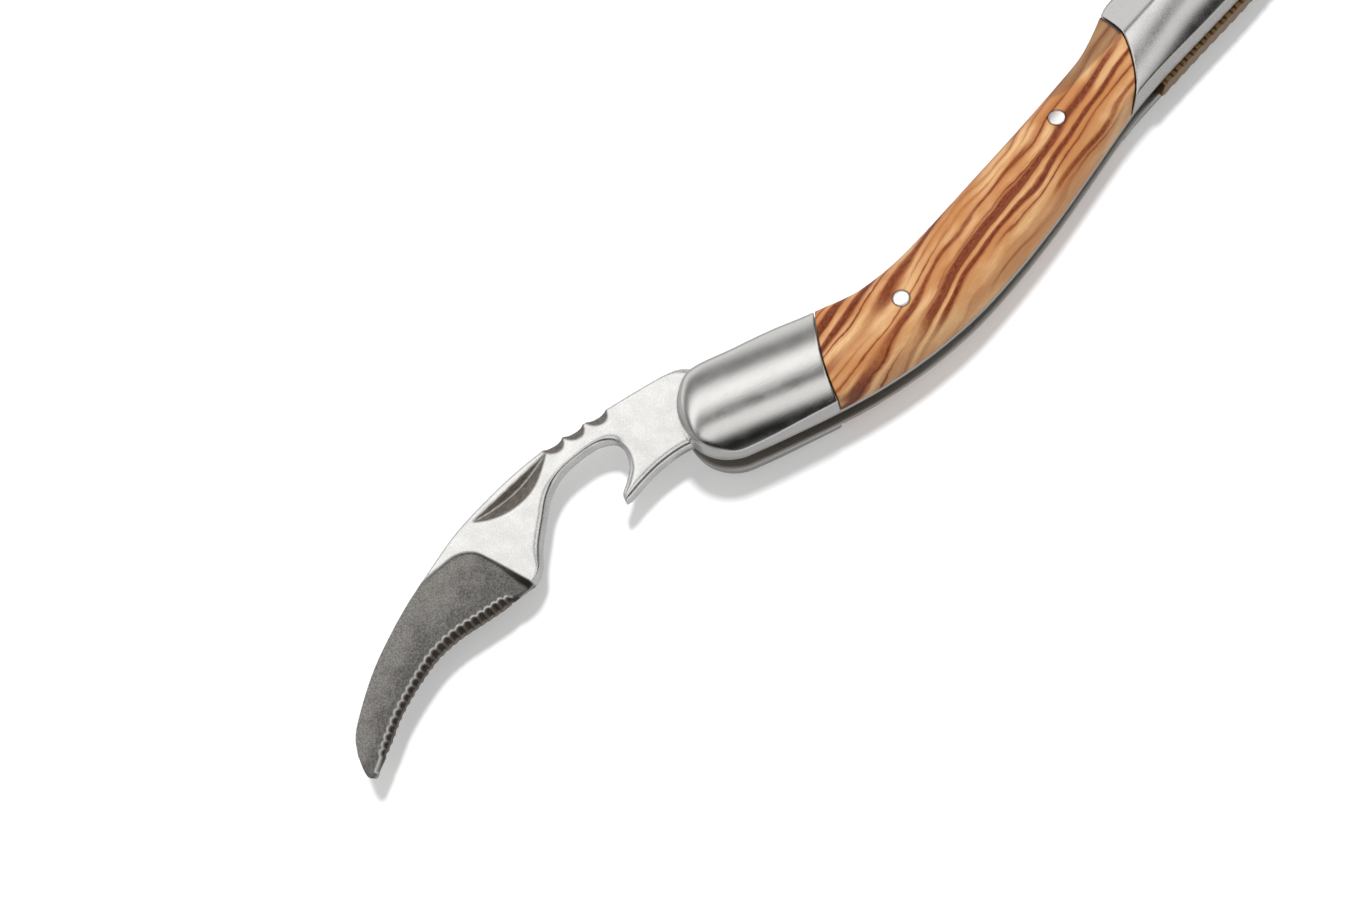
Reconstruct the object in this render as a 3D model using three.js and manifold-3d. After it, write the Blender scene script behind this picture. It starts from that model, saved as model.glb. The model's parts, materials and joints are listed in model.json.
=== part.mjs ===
// A folding sommelier knife with a hawkbill blade, a corkscrew worm and a forked boot lever.
//
// The design is drawn in the knife's own plane: x runs along the handle from the blade pivot (0, 0)
// to the lever end, y points to the concave side and z is the thickness, with the middle plane at 0.
// The last lines move the whole knife so that its lower side's flat land rests on z = 0.
// All sizes are in millimetres, angles in degrees.

import * as THREE from "three";
import { mergeVertices } from "three/addons/utils/BufferGeometryUtils.js";
import Module from "manifold-3d";

const wasm = await Module();
wasm.setup();

// Thickness stack, measured from the middle plane
const SLOT_HALF = 2.2;
const LINER_OUT = 3.2;
const CROWN_TOP = 7.7;
const BLADE_HALF = 1.5;
const WORM_TANG_HALF = 1.6;
const LEVER_KNUCKLE_HALF = 1.6;
const WASHER_GAP = 0.1;
const HIDDEN_PIN_END = 5.2;
const PAST_LINER = 5;
const PAST_CROWN = 20;

// Pivots
const BLADE_PIVOT = [0, 0];
const WORM_PIVOT = [92, 7.5];
const LEVER_PIVOT = [112, 7.2];
const WORM_FOLD = 95;
const LEVER_FOLD = 165;
const PIVOT_PIN_R = 1.6;
const SMALL_PIN_R = 0.8;
const BORE_CLEARANCE = 0.12;
const FIXED_CLEARANCE = 0.04;
const BLADE_WASHER_R = 4.2;
const WORM_WASHER_R = 3.6;
const LEVER_WASHER_R = 3.8;

// Handle outline
const NOSE_CENTER = [0, -0.6];
const NOSE_R = 8.0;
const END_R = 5.7;
const CONCAVE_EDGE = [
  [5.3, 5.5], [11, 4.0], [18, 1.75], [24, 0.7], [30, 0.45], [37, 1.1], [46, 2.35], [55, 3.6],
  [64, 5.0], [71, 6.3], [76.2, 8.0], [80.7, 10.1], [85, 11.6], [91, 12.5], [98, 12.9], [105, 13.0],
];
const BELLY_EDGE = [
  [112.4, 1.4], [107, -0.2], [98, -1.8], [88, -3.0], [78, -4.2], [73, -5.0], [67, -6.5], [60.3, -8.3],
  [52, -10.4], [43, -12.2], [35, -13.3], [28, -13.6], [22, -13.35], [16, -12.6], [10, -11.5], [5, -10.3],
];
const OUTLINE_POINTS = 104;

// Crown of the scales and bolsters: distance in from the outline, and height there
const CROWN_LEVELS = [
  { inset: 0, z: LINER_OUT },
  { inset: 0.35, z: 5.0 },
  { inset: 0.75, z: 6.1 },
  { inset: 1.8, z: 6.8 },
  { inset: 3.2, z: 7.35 },
  { inset: 4.6, z: CROWN_TOP },
];

// Joints between the wood and the bolsters, from the concave side to the belly side
const JOINT_GAP = 0.3;
const FRONT_JOINT = [[18.6, 4], [15.2, -1.2], [12.2, -7], [9.8, -15]];
const REAR_JOINT = [[78.6, 12], [77.2, 4.3], [73.9, -2], [67.6, -9]];
const BEYOND_NOSE = [[-30, 30], [-30, -30]];
const BEYOND_END = [[140, 30], [140, -30]];

// Finger recess: a sloped facet along the concave side of the rear end
const FACET_POINT = [77.7, 4.0, 7.5];
const FACET_SLOPE_Y = -0.61;
const FACET_SLOPE_X = 0.087;
const FACET_REGION = [[56, -8], [122, -8], [122, 24], [56, 24]];

// Groove that the folded worm lies in
const GROOVE_START = [43.2, 3.03];
const GROOVE_TILT = 8.4;
const GROOVE_LENGTH = 41.5;
const GROOVE_R = 4.1;
const GROOVE_WALL_HEIGHT = 12;

// Worm, in its own frame: u runs from the pivot to the tip, w is the offset of the coil's axis
const WORM_AXIS_OFFSET = 2.62;
const WORM_TANG_R = 4.2;
const WORM_SHANK_R = 1.5;
const WORM_WIRE_R = 1.15;
const WORM_HELIX_R = 2.45;
const WORM_PITCH = 7.6;
const WORM_LENGTH = 47.2;
const WORM_SHANK_START = 5.5;
const WORM_COIL_START = 8.5;
const WORM_COIL_OPENING = 5;
const WORM_TIP_TAPER = 9;
const WORM_TIP_R = 0.2;
const WORM_RINGS = 96;
const WORM_SIDES = 8;

const SCALE_PINS = [[27, -5.5], [61.2, 0.2]];
const SCALE_PIN_R = 1.2;

// Lever, closed: its beam and fork lie along -x and its knuckle is the pivot
const LEVER_BEAM_HALF = 6.0;
const LEVER_FORK_HALF = 4.2;
const LEVER_FORK_END = [-11, 5];
const LEVER_KNUCKLE_R = 4.4;

const steel = { color: 0xb9bab8, roughness: 0.35, metalness: 1.0 };
const groundSteel = { color: 0xd9d9d6, roughness: 0.28, metalness: 1.0 };
const springSteel = { color: 0x8f8f8c, roughness: 0.45, metalness: 1.0 };
const oliveWood = { color: 0xc99a62, roughness: 0.5, metalness: 0.0 };
const brassTone = { color: 0xb08d57, roughness: 0.4, metalness: 1.0 };

// ---------------------------------------------------------------- solids

// A closed three.js geometry as a solid that can be cut and joined.
function solid(geometry) {
  const bare = geometry.index ? geometry.toNonIndexed() : geometry.clone();
  bare.deleteAttribute("normal");
  bare.deleteAttribute("uv");
  const merged = mergeVertices(bare, 1e-4);
  return new wasm.Manifold(new wasm.Mesh({
    numProp: 3,
    vertProperties: new Float32Array(merged.attributes.position.array),
    triVerts: new Uint32Array(merged.index.array),
  }));
}

// The solid's faces as a three.js geometry, mirrored through the middle plane if asked.
function geometryOf(body, mirrored = false) {
  const mesh = body.getMesh();
  const positions = Float32Array.from(mesh.vertProperties);
  const triangles = Uint32Array.from(mesh.triVerts);
  if (mirrored) {
    for (let i = 2; i < positions.length; i += 3) positions[i] = -positions[i];
    for (let i = 0; i < triangles.length; i += 3) {
      [triangles[i], triangles[i + 1]] = [triangles[i + 1], triangles[i]];
    }
  }
  const geometry = new THREE.BufferGeometry();
  geometry.setAttribute("position", new THREE.BufferAttribute(positions, 3));
  geometry.setIndex(new THREE.BufferAttribute(triangles, 1));
  geometry.computeVertexNormals();
  return geometry;
}

function vectors(points) {
  return points.map(([x, y]) => new THREE.Vector2(x, y));
}

function prism(points, low, high) {
  const geometry = new THREE.ExtrudeGeometry(new THREE.Shape(vectors(points)), {
    depth: high - low,
    bevelEnabled: false,
  });
  geometry.translate(0, 0, low);
  return solid(geometry);
}

function cylinder([x, y], radius, low, high, sides = 24) {
  const geometry = new THREE.CylinderGeometry(radius, radius, high - low, sides);
  geometry.rotateX(Math.PI / 2);
  geometry.translate(x, y, (low + high) / 2);
  return solid(geometry);
}

// Evenly spaced points of a smooth curve through the given points.
function smooth(points, count) {
  return new THREE.SplineCurve(vectors(points)).getSpacedPoints(count).map((p) => [p.x, p.y]);
}

function arc([cx, cy], radius, from, to, count) {
  const points = [];
  for (let i = 0; i <= count; i += 1) {
    const angle = THREE.MathUtils.degToRad(from + ((to - from) * i) / count);
    points.push([cx + radius * Math.cos(angle), cy + radius * Math.sin(angle)]);
  }
  return points;
}

// A closed solid made of rings with equal point counts, with flat ends.
function ringSolid(rings) {
  const count = rings[0].length;
  const positions = rings.flat(2);
  const triangles = [];
  for (let r = 0; r + 1 < rings.length; r += 1) {
    for (let i = 0; i < count; i += 1) {
      const a = r * count + i;
      const b = r * count + ((i + 1) % count);
      triangles.push(a, b, a + count, b, b + count, a + count);
    }
  }
  const last = (rings.length - 1) * count;
  const addCap = (ring, base, flip) => {
    for (const [a, b, c] of capTriangles(ring)) {
      triangles.push(...(flip ? [base + a, base + c, base + b] : [base + a, base + b, base + c]));
    }
  };
  addCap(rings[0], 0, true);
  addCap(rings[rings.length - 1], last, false);
  const geometry = new THREE.BufferGeometry();
  geometry.setAttribute("position", new THREE.Float32BufferAttribute(positions, 3));
  geometry.setIndex(triangles);
  return solid(geometry);
}

// Triangles of a flat ring, wound the way that the ring runs.
function capTriangles(ring) {
  const origin = new THREE.Vector3(...ring[0]);
  const normal = new THREE.Vector3();
  const points = ring.map((p) => new THREE.Vector3(...p));
  points.forEach((p, i) => {
    const q = points[(i + 1) % points.length];
    normal.add(p.clone().sub(origin).cross(q.clone().sub(origin)));
  });
  normal.normalize();
  const toPlane = new THREE.Quaternion().setFromUnitVectors(normal, new THREE.Vector3(0, 0, 1));
  const flat = points.map((p) => p.clone().sub(origin).applyQuaternion(toPlane));
  return THREE.ShapeUtils.triangulateShape(flat.map((p) => new THREE.Vector2(p.x, p.y)), []);
}

// A wire along a curve whose radius changes with the distance along it.
function taperedWire(curve, radiusAt, ringCount, sides) {
  const frames = curve.computeFrenetFrames(ringCount, false);
  const rings = [];
  for (let r = 0; r <= ringCount; r += 1) {
    const share = r / ringCount;
    const center = curve.getPointAt(share);
    const ring = [];
    for (let s = 0; s < sides; s += 1) {
      const angle = (2 * Math.PI * s) / sides;
      const point = center.clone();
      point.addScaledVector(frames.normals[r], radiusAt(share) * Math.cos(angle));
      point.addScaledVector(frames.binormals[r], radiusAt(share) * Math.sin(angle));
      ring.push([point.x, point.y, point.z]);
    }
    rings.push(ring);
  }
  return ringSolid(rings);
}

function union(bodies) {
  return bodies.reduce((whole, body) => whole.add(body));
}

function cutAll(body, cutters) {
  return cutters.reduce((rest, cutter) => rest.subtract(cutter), body);
}

// ---------------------------------------------------------------- handle outline

const handleOutline = (() => {
  const nose = arc(NOSE_CENTER, NOSE_R, 262, 84, 7).map(([x, y]) => new THREE.Vector3(x, y, 0));
  const end = arc(LEVER_PIVOT, END_R, 80, -35, 5).map(([x, y]) => new THREE.Vector3(x, y, 0));
  const lift = (points) => points.map(([x, y]) => new THREE.Vector3(x, y, 0));
  const keys = [...nose, ...lift(CONCAVE_EDGE), ...end, ...lift(BELLY_EDGE)].reverse();
  const curve = new THREE.CatmullRomCurve3(keys, true, "centripetal");
  const points = [];
  for (let i = 0; i < OUTLINE_POINTS; i += 1) {
    const place = curve.getPointAt(i / OUTLINE_POINTS);
    const tangent = curve.getTangentAt(i / OUTLINE_POINTS);
    points.push({ x: place.x, y: place.y, inX: -tangent.y, inY: tangent.x });
  }
  return points;
})();

function outlineRing(inset, z) {
  return handleOutline.map((p) => [p.x + inset * p.inX, p.y + inset * p.inY, z]);
}

function plate(low, high) {
  return prism(outlineRing(0, 0).map(([x, y]) => [x, y]), low, high);
}

// ---------------------------------------------------------------- shared cutters

// U-shaped channel around the folded worm, open towards the concave side.
const wormGroove = (() => {
  const shape = new THREE.Shape();
  shape.moveTo(-GROOVE_R, GROOVE_WALL_HEIGHT);
  shape.lineTo(-GROOVE_R, 0);
  shape.absarc(0, 0, GROOVE_R, Math.PI, 2 * Math.PI, false);
  shape.lineTo(GROOVE_R, GROOVE_WALL_HEIGHT);
  const geometry = new THREE.ExtrudeGeometry(shape, {
    depth: GROOVE_LENGTH,
    bevelEnabled: false,
    curveSegments: 14,
  });
  const tilt = THREE.MathUtils.degToRad(GROOVE_TILT);
  const along = new THREE.Vector3(Math.cos(tilt), Math.sin(tilt), 0);
  const up = new THREE.Vector3(-Math.sin(tilt), Math.cos(tilt), 0);
  const across = new THREE.Vector3(0, 0, 1);
  const place = new THREE.Matrix4().makeBasis(across.clone().negate(), up, along);
  if (place.determinant() < 0) place.makeBasis(across, up, along);
  place.setPosition(GROOVE_START[0], GROOVE_START[1], 0);
  geometry.applyMatrix4(place);
  return solid(geometry);
})();

// Everything above the sloped facet, over the rear end only.
const facetCutter = (() => {
  const [px, py, pz] = FACET_POINT;
  const heightAt = (x, y) => pz + FACET_SLOPE_Y * (y - py) + FACET_SLOPE_X * (x - px);
  return ringSolid([
    FACET_REGION.map(([x, y]) => [x, y, heightAt(x, y)]),
    FACET_REGION.map(([x, y]) => [x, y, PAST_CROWN]),
  ]);
})();

function pinHoles(centers, radius, low, high) {
  return centers.map((center) => cylinder(center, radius, low, high));
}

// The running bore of a piece that turns about its pivot.
function pivotBore(center) {
  return cylinder(center, PIVOT_PIN_R + BORE_CLEARANCE, -PAST_LINER, PAST_LINER);
}

const CENTER_SPRING_PIN = [79.5, 2.7];
const REAR_SPRING_PINS = [[84, -1.9], [101, 0.4]];
const smallPins = [CENTER_SPRING_PIN, ...REAR_SPRING_PINS];
const pivots = [BLADE_PIVOT, WORM_PIVOT, LEVER_PIVOT];

// ---------------------------------------------------------------- handle pieces

const liner = cutAll(plate(SLOT_HALF, LINER_OUT), [
  wormGroove,
  ...pinHoles(pivots, PIVOT_PIN_R + FIXED_CLEARANCE, 0, PAST_LINER),
  ...pinHoles([...smallPins, ...SCALE_PINS], SMALL_PIN_R + FIXED_CLEARANCE, 0, PAST_LINER),
]);

const crown = ringSolid(CROWN_LEVELS.map(({ inset, z }) => outlineRing(inset, z)));
const facetedCrown = crown.subtract(facetCutter);

// The part of the crown between two joints; an end with no joint runs out past the outline.
function crownPiece(frontJoint, rearJoint) {
  const front = frontJoint
    ? smooth(frontJoint, 10).map(([x, y]) => [x + JOINT_GAP / 2, y])
    : BEYOND_NOSE;
  const rear = rearJoint
    ? smooth(rearJoint, 10).map(([x, y]) => [x - JOINT_GAP / 2, y])
    : BEYOND_END;
  const region = prism([...front, ...[...rear].reverse()], 0, PAST_CROWN);
  const blindEnd = HIDDEN_PIN_END + WASHER_GAP;
  return cutAll(facetedCrown.intersect(region), [
    wormGroove,
    ...pinHoles(pivots, PIVOT_PIN_R + FIXED_CLEARANCE, 0, blindEnd),
    ...pinHoles(smallPins, SMALL_PIN_R + FIXED_CLEARANCE, 0, blindEnd),
    ...pinHoles(SCALE_PINS, SCALE_PIN_R + FIXED_CLEARANCE, 0, PAST_CROWN),
  ]);
}

// A pin turned on a lathe, thick in the scales and thin through the liners and the spring.
function scalePin([x, y]) {
  const step = LINER_OUT + FIXED_CLEARANCE;
  const profile = [
    [0, -CROWN_TOP], [SCALE_PIN_R, -CROWN_TOP], [SCALE_PIN_R, -step], [SMALL_PIN_R, -step],
    [SMALL_PIN_R, step], [SCALE_PIN_R, step], [SCALE_PIN_R, CROWN_TOP], [0, CROWN_TOP],
  ];
  const geometry = new THREE.LatheGeometry(vectors(profile), 24);
  geometry.rotateX(Math.PI / 2);
  geometry.translate(x, y, 0);
  return solid(geometry);
}

// A ring between a moving tang and the upper liner.
function washer(center, tangHalf, radius) {
  const disc = cylinder(center, radius, tangHalf + WASHER_GAP, SLOT_HALF);
  return disc.subtract(cylinder(center, PIVOT_PIN_R + FIXED_CLEARANCE, 0, PAST_LINER));
}

// ---------------------------------------------------------------- springs

// Shared back spring: it presses the blade's tang at the front and the worm's tang at the rear.
function centerSpring() {
  const top = [
    [0.3, 6.95], [5, 5.4], [11, 3.8], [18, 1.55], [24, 0.5], [30, 0.25], [37, 0.9], [40.5, 0.6],
    [43.5, -1.35], [52, -0.15], [62, 1.3], [72, 2.8], [80, 3.9], [85, 3.4], [90, 3.0], [97, 3.0],
  ];
  const bottom = [
    [97, 1.1], [88, 0.9], [80, 1.3], [72, 1.0], [66, -0.6], [58, -2.2], [50, -3.0], [43, -2.95],
    [38, -2.2], [33, -1.8], [26, -1.4], [20, -0.6], [14, 1.2], [8, 3.1], [4, 4.75], [0.3, 6.15],
  ];
  return cutAll(prism([...smooth(top, 34), ...smooth(bottom, 30)].reverse(), -SLOT_HALF, SLOT_HALF), [
    ...pinHoles([CENTER_SPRING_PIN, SCALE_PINS[1]], SMALL_PIN_R + FIXED_CLEARANCE, -PAST_LINER, PAST_LINER),
  ]);
}

// Rear spring: its back stands slightly proud of the belly and it presses the lever's knuckle.
function rearSpring() {
  const back = [[78.3, -4.85], [88, -3.65], [98, -2.45], [106, -1.05], [110.5, 0.2], [113.6, 1.5]];
  const inside = [[113.6, 2.0], [110.5, 2.4], [106, 2.2], [100, 1.5], [94, 0.3], [86, -0.6], [78.3, -1.3]];
  const bores = pinHoles(REAR_SPRING_PINS, SMALL_PIN_R + FIXED_CLEARANCE, -PAST_LINER, PAST_LINER);
  return cutAll(prism([...smooth(back, 14), ...smooth(inside, 14)], -SLOT_HALF, SLOT_HALF), bores);
}

// ---------------------------------------------------------------- blade

const TANG_R = 5.8;
const SPINE = [
  [-0.2, 8.1], [-1.4, 9.3], [-3.3, 10.1], [-11, 11.55], [-17, 12.4], [-24.9, 13.35], [-30, 13.4],
  [-35.5, 13.0], [-42, 12.05], [-48, 10.3], [-53.5, 8.5], [-58, 6.6], [-62.5, 4.3], [-67, 1.2],
  [-70.2, -1.6], [-71.5, -4.0],
];
const TIP = [[-71.5, -4.0], [-72.1, -6.5], [-72.0, -7.7], [-71.4, -8.1], [-70.6, -7.4]];
const CUTTING_EDGE = [
  [-70.6, -7.4], [-67.3, -5.6], [-63.5, -3.35], [-58.3, -1.35], [-54.6, -0.4], [-50.6, -0.25],
  [-46.4, -0.75], [-43.1, -1.1], [-40.8, -1.1],
];
const HEEL = [[-38.6, -1.1], [-37.4, -0.5], [-35.9, -1.0], [-35.3, -0.3]];
const NOTCH = [
  [-35.3, -0.3], [-33.6, 2.4], [-31.0, 4.9], [-28.2, 7.4], [-24.8, 8.9], [-21.0, 9.1], [-18.0, 8.6],
  [-16.0, 7.3], [-15.7, 5.6], [-16.6, 3.3], [-18.3, 1.8], [-19.9, 0.7], [-20.4, -0.6],
];
const HOOK_EDGE = [[-19.4, -0.7], [-16.5, -0.2], [-13, 0.1], [-8.7, -0.3], [-5.6, -1.5]];
const NAIL_NICK_BACK = [[-24.1, 12.35], [-39.2, 11.6]];
const NAIL_NICK_BELLY = [[-39.2, 11.6], [-35.0, 9.7], [-31.2, 9.25], [-27.4, 10.2], [-24.1, 12.35]];
const NAIL_NICK_DEPTH = 0.6;
const GRIND_BORDER = [[-50.2, 9.6], [-47, 9.7], [-43.6, 9.5], [-41.4, 8.1], [-40.2, 5.8], [-37.7, -0.5]];
const GRIND_BEYOND_TIP = [[-37.7, -20], [-90, -20], [-90, 9.6]];
const GRIND_SPINE_Z = 1.38;
const GRIND_EDGE_Z = 0.25;
const GRIND_OVERHANG = 2;
const FILED_NOTCHES = [-15.2, -19.1, -22.6];
const FILED_NOTCH_R = 1.9;
const FILED_NOTCH_OFFSET = 0.92;
const FILED_NOTCH_TILT = -45;
const FILE_LENGTH = 8;

// Solid above one ground face: it slopes from the spine down to the cutting edge.
function grindCutter() {
  const spine = [[-34, 13.4], [-45, 12], [-54, 9.2], [-63, 5.2], [-69, 1.0], [-73, -3.5]];
  const edge = [[-34, -1.5], [-43, -1.5], [-51, -0.7], [-58.5, -1.7], [-65, -4.4], [-72.5, -9.6]];
  const rings = spine.map(([sx, sy], i) => {
    const [ex, ey] = edge[i];
    return [
      [sx, sy, GRIND_SPINE_Z], [ex, ey, GRIND_EDGE_Z],
      [ex, ey - GRIND_OVERHANG, 2 * BLADE_HALF], [sx, sy + GRIND_OVERHANG, 2 * BLADE_HALF],
    ];
  });
  const border = smooth(GRIND_BORDER, 14);
  const region = prism([...border, ...GRIND_BEYOND_TIP], 0, PAST_LINER);
  return region.intersect(ringSolid(rings));
}

// Half-moon notches filed at a slant across the top edge of the spine.
function filedNotches() {
  const spine = new THREE.SplineCurve(vectors(SPINE.slice(3, 6)));
  return FILED_NOTCHES.map((x) => {
    const share = (x - SPINE[3][0]) / (SPINE[5][0] - SPINE[3][0]);
    const { y } = spine.getPoint(share);
    const geometry = new THREE.CylinderGeometry(FILED_NOTCH_R, FILED_NOTCH_R, FILE_LENGTH, 20);
    geometry.rotateX(THREE.MathUtils.degToRad(FILED_NOTCH_TILT));
    geometry.translate(x, y + FILED_NOTCH_OFFSET, BLADE_HALF + FILED_NOTCH_OFFSET);
    return solid(geometry);
  });
}

// The same cutter on both faces of the blade.
function bothFaces(cutter) {
  return [cutter, solid(geometryOf(cutter, true))];
}

function blade() {
  const tang = arc(BLADE_PIVOT, TANG_R, 195, 448, 26);
  const outline = [
    ...smooth(SPINE, 40), ...smooth(TIP, 7).slice(1), ...smooth(CUTTING_EDGE, 24).slice(1),
    ...HEEL, ...smooth(NOTCH, 30).slice(1), ...smooth(HOOK_EDGE, 8), ...tang, [-0.2, TANG_R],
  ];
  const nick = prism([...NAIL_NICK_BACK, ...smooth(NAIL_NICK_BELLY, 10).slice(1, -1)],
    BLADE_HALF - NAIL_NICK_DEPTH, 2 * BLADE_HALF);
  return cutAll(prism(outline, -BLADE_HALF, BLADE_HALF), [
    pivotBore(BLADE_PIVOT),
    nick,
    ...bothFaces(grindCutter()),
    ...filedNotches().flatMap(bothFaces),
  ]);
}

// ---------------------------------------------------------------- worm

class WormCurve extends THREE.Curve {
  getPoint(share, target = new THREE.Vector3()) {
    const u = THREE.MathUtils.lerp(WORM_SHANK_START, WORM_LENGTH, share);
    const opening = THREE.MathUtils.smoothstep(u, WORM_COIL_START, WORM_COIL_START + WORM_COIL_OPENING);
    const angle = (2 * Math.PI * Math.max(0, u - WORM_COIL_START)) / WORM_PITCH;
    const radius = WORM_HELIX_R * opening;
    return target.set(u, -WORM_AXIS_OFFSET + radius * Math.cos(angle), radius * Math.sin(angle));
  }
}

// The worm with its pivot at the origin and its tip along +x.
function worm() {
  const tipShare = WORM_TIP_TAPER / WORM_LENGTH;
  const radiusAt = (share) => {
    const body = THREE.MathUtils.lerp(WORM_SHANK_R, WORM_WIRE_R, THREE.MathUtils.smoothstep(share, 0, 0.3));
    const left = Math.min(1, (1 - share) / tipShare);
    return THREE.MathUtils.lerp(WORM_TIP_R, body, left);
  };
  const wire = taperedWire(new WormCurve(), radiusAt, WORM_RINGS, WORM_SIDES);
  const neckHalf = 1.7;
  const neck = prism([
    [0, -3.9], [7.5, -WORM_AXIS_OFFSET - neckHalf], [7.5, -WORM_AXIS_OFFSET + neckHalf], [2.6, 3.0],
  ], -WORM_TANG_HALF, WORM_TANG_HALF);
  const tang = cylinder([0, 0], WORM_TANG_R, -WORM_TANG_HALF, WORM_TANG_HALF, 36);
  return union([tang, neck, wire]).subtract(pivotBore([0, 0]));
}

// ---------------------------------------------------------------- lever

// The closed lever seen from above, with its pivot at the origin and its fork along -x.
function lever() {
  const underside = [[-4.8, 6.3], [-9, 6.4], [-16, 6.2], [-22, 5.6], [-28, 4.2], [-33, 2.4], [-36.2, 1.2]];
  const foot = [[-37.8, 0.9], [-39.0, 2.0], [-38.6, 3.4]];
  const back = [[-38.6, 3.4], [-35, 6.0], [-28, 8.1], [-20, 9.4], [-11, 9.8], [-6.2, 8.9], [-4.8, 7.4]];
  const profile = [...smooth(underside, 14), ...foot, ...smooth(back, 14).slice(1)];
  const beam = prism(profile, -LEVER_BEAM_HALF, LEVER_BEAM_HALF);
  const [forkX, forkY] = LEVER_FORK_END;
  const beyondFoot = -50;
  const forkReach = 10;
  const fork = prism([
    [beyondFoot, forkY - forkReach], [forkX, forkY - forkReach],
    [forkX, forkY + forkReach], [beyondFoot, forkY + forkReach],
  ], -LEVER_FORK_HALF, LEVER_FORK_HALF);
  const endRound = new THREE.CylinderGeometry(LEVER_FORK_HALF, LEVER_FORK_HALF, 2 * forkReach, 28);
  const forkEnd = solid(endRound.translate(forkX, forkY, 0));
  const neck = prism([[-8.5, 7.0], [-3.9, -1.6], [1.2, 4.2], [-5.5, 7.4]],
    -LEVER_KNUCKLE_HALF, LEVER_KNUCKLE_HALF);
  const knuckle = cylinder([0, 0], LEVER_KNUCKLE_R, -LEVER_KNUCKLE_HALF, LEVER_KNUCKLE_HALF, 36);
  return union([cutAll(beam, [fork, forkEnd]), neck, knuckle]).subtract(pivotBore([0, 0]));
}

// ---------------------------------------------------------------- assembly

const knife = new THREE.Group();

function add(name, body, look, { mirrored = false, parent = knife } = {}) {
  const mesh = new THREE.Mesh(geometryOf(body, mirrored), new THREE.MeshStandardMaterial(look));
  mesh.name = name;
  parent.add(mesh);
}

function addPair(name, body, look) {
  add(`${name}_top`, body, look);
  add(`${name}_bottom`, body, look, { mirrored: true });
}

// A group whose child turns about a pivot, at the given angle.
function turned([x, y], degrees) {
  const group = new THREE.Group();
  group.position.set(x, y, 0);
  group.rotation.z = THREE.MathUtils.degToRad(degrees);
  knife.add(group);
  return group;
}

addPair("liner", liner, springSteel);
addPair("front_bolster", crownPiece(null, FRONT_JOINT), steel);
addPair("wood_scale", crownPiece(FRONT_JOINT, REAR_JOINT), oliveWood);
addPair("rear_bolster", crownPiece(REAR_JOINT, null), steel);
add("scale_pin_front", scalePin(SCALE_PINS[0]), steel);
add("scale_pin_rear", scalePin(SCALE_PINS[1]), steel);

add("center_spring", centerSpring(), springSteel);
add("rear_spring", rearSpring(), springSteel);
const smallPin = (center) => cylinder(center, SMALL_PIN_R, -HIDDEN_PIN_END, HIDDEN_PIN_END);
add("center_spring_pin", smallPin(CENTER_SPRING_PIN), steel);
add("rear_spring_pin_front", smallPin(REAR_SPRING_PINS[0]), steel);
add("rear_spring_pin_rear", smallPin(REAR_SPRING_PINS[1]), steel);

const pivotPin = (center) => cylinder(center, PIVOT_PIN_R, -HIDDEN_PIN_END, HIDDEN_PIN_END);
add("blade_pivot_pin", pivotPin(BLADE_PIVOT), steel);
add("worm_pivot_pin", pivotPin(WORM_PIVOT), steel);
add("lever_pivot_pin", pivotPin(LEVER_PIVOT), steel);
addPair("blade_washer", washer(BLADE_PIVOT, BLADE_HALF, BLADE_WASHER_R), brassTone);
addPair("worm_washer", washer(WORM_PIVOT, WORM_TANG_HALF, WORM_WASHER_R), brassTone);
addPair("lever_washer", washer(LEVER_PIVOT, LEVER_KNUCKLE_HALF, LEVER_WASHER_R), brassTone);

add("blade", blade(), groundSteel);
add("worm", worm(), steel, { parent: turned(WORM_PIVOT, 180 + GROOVE_TILT - WORM_FOLD) });
add("lever", lever(), steel, { parent: turned(LEVER_PIVOT, -LEVER_FOLD) });

// The origin is on the lower side's flat land, under the middle of the handle.
const LAND_POINT = [40, -5.2];
knife.position.set(-LAND_POINT[0], -LAND_POINT[1], CROWN_TOP);

export default knife;
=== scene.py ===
"""A folding sommelier knife: hawkbill foil blade, corkscrew worm and boot lever in an olive-wood handle.

Shapes are drawn in millimetres in the knife's own plane: x runs along the handle from the blade pivot,
y points to the handle's concave side and z is the thickness, with the middle plane at 0. The pieces
are signed distance fields turned into meshes, so their edges are rounded as filed and polished ones are.
The hidden pins and the washers keep their CAD shape.
"""

import json
import math

import bpy
import numpy as np
from mathutils import Matrix, Vector


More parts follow.
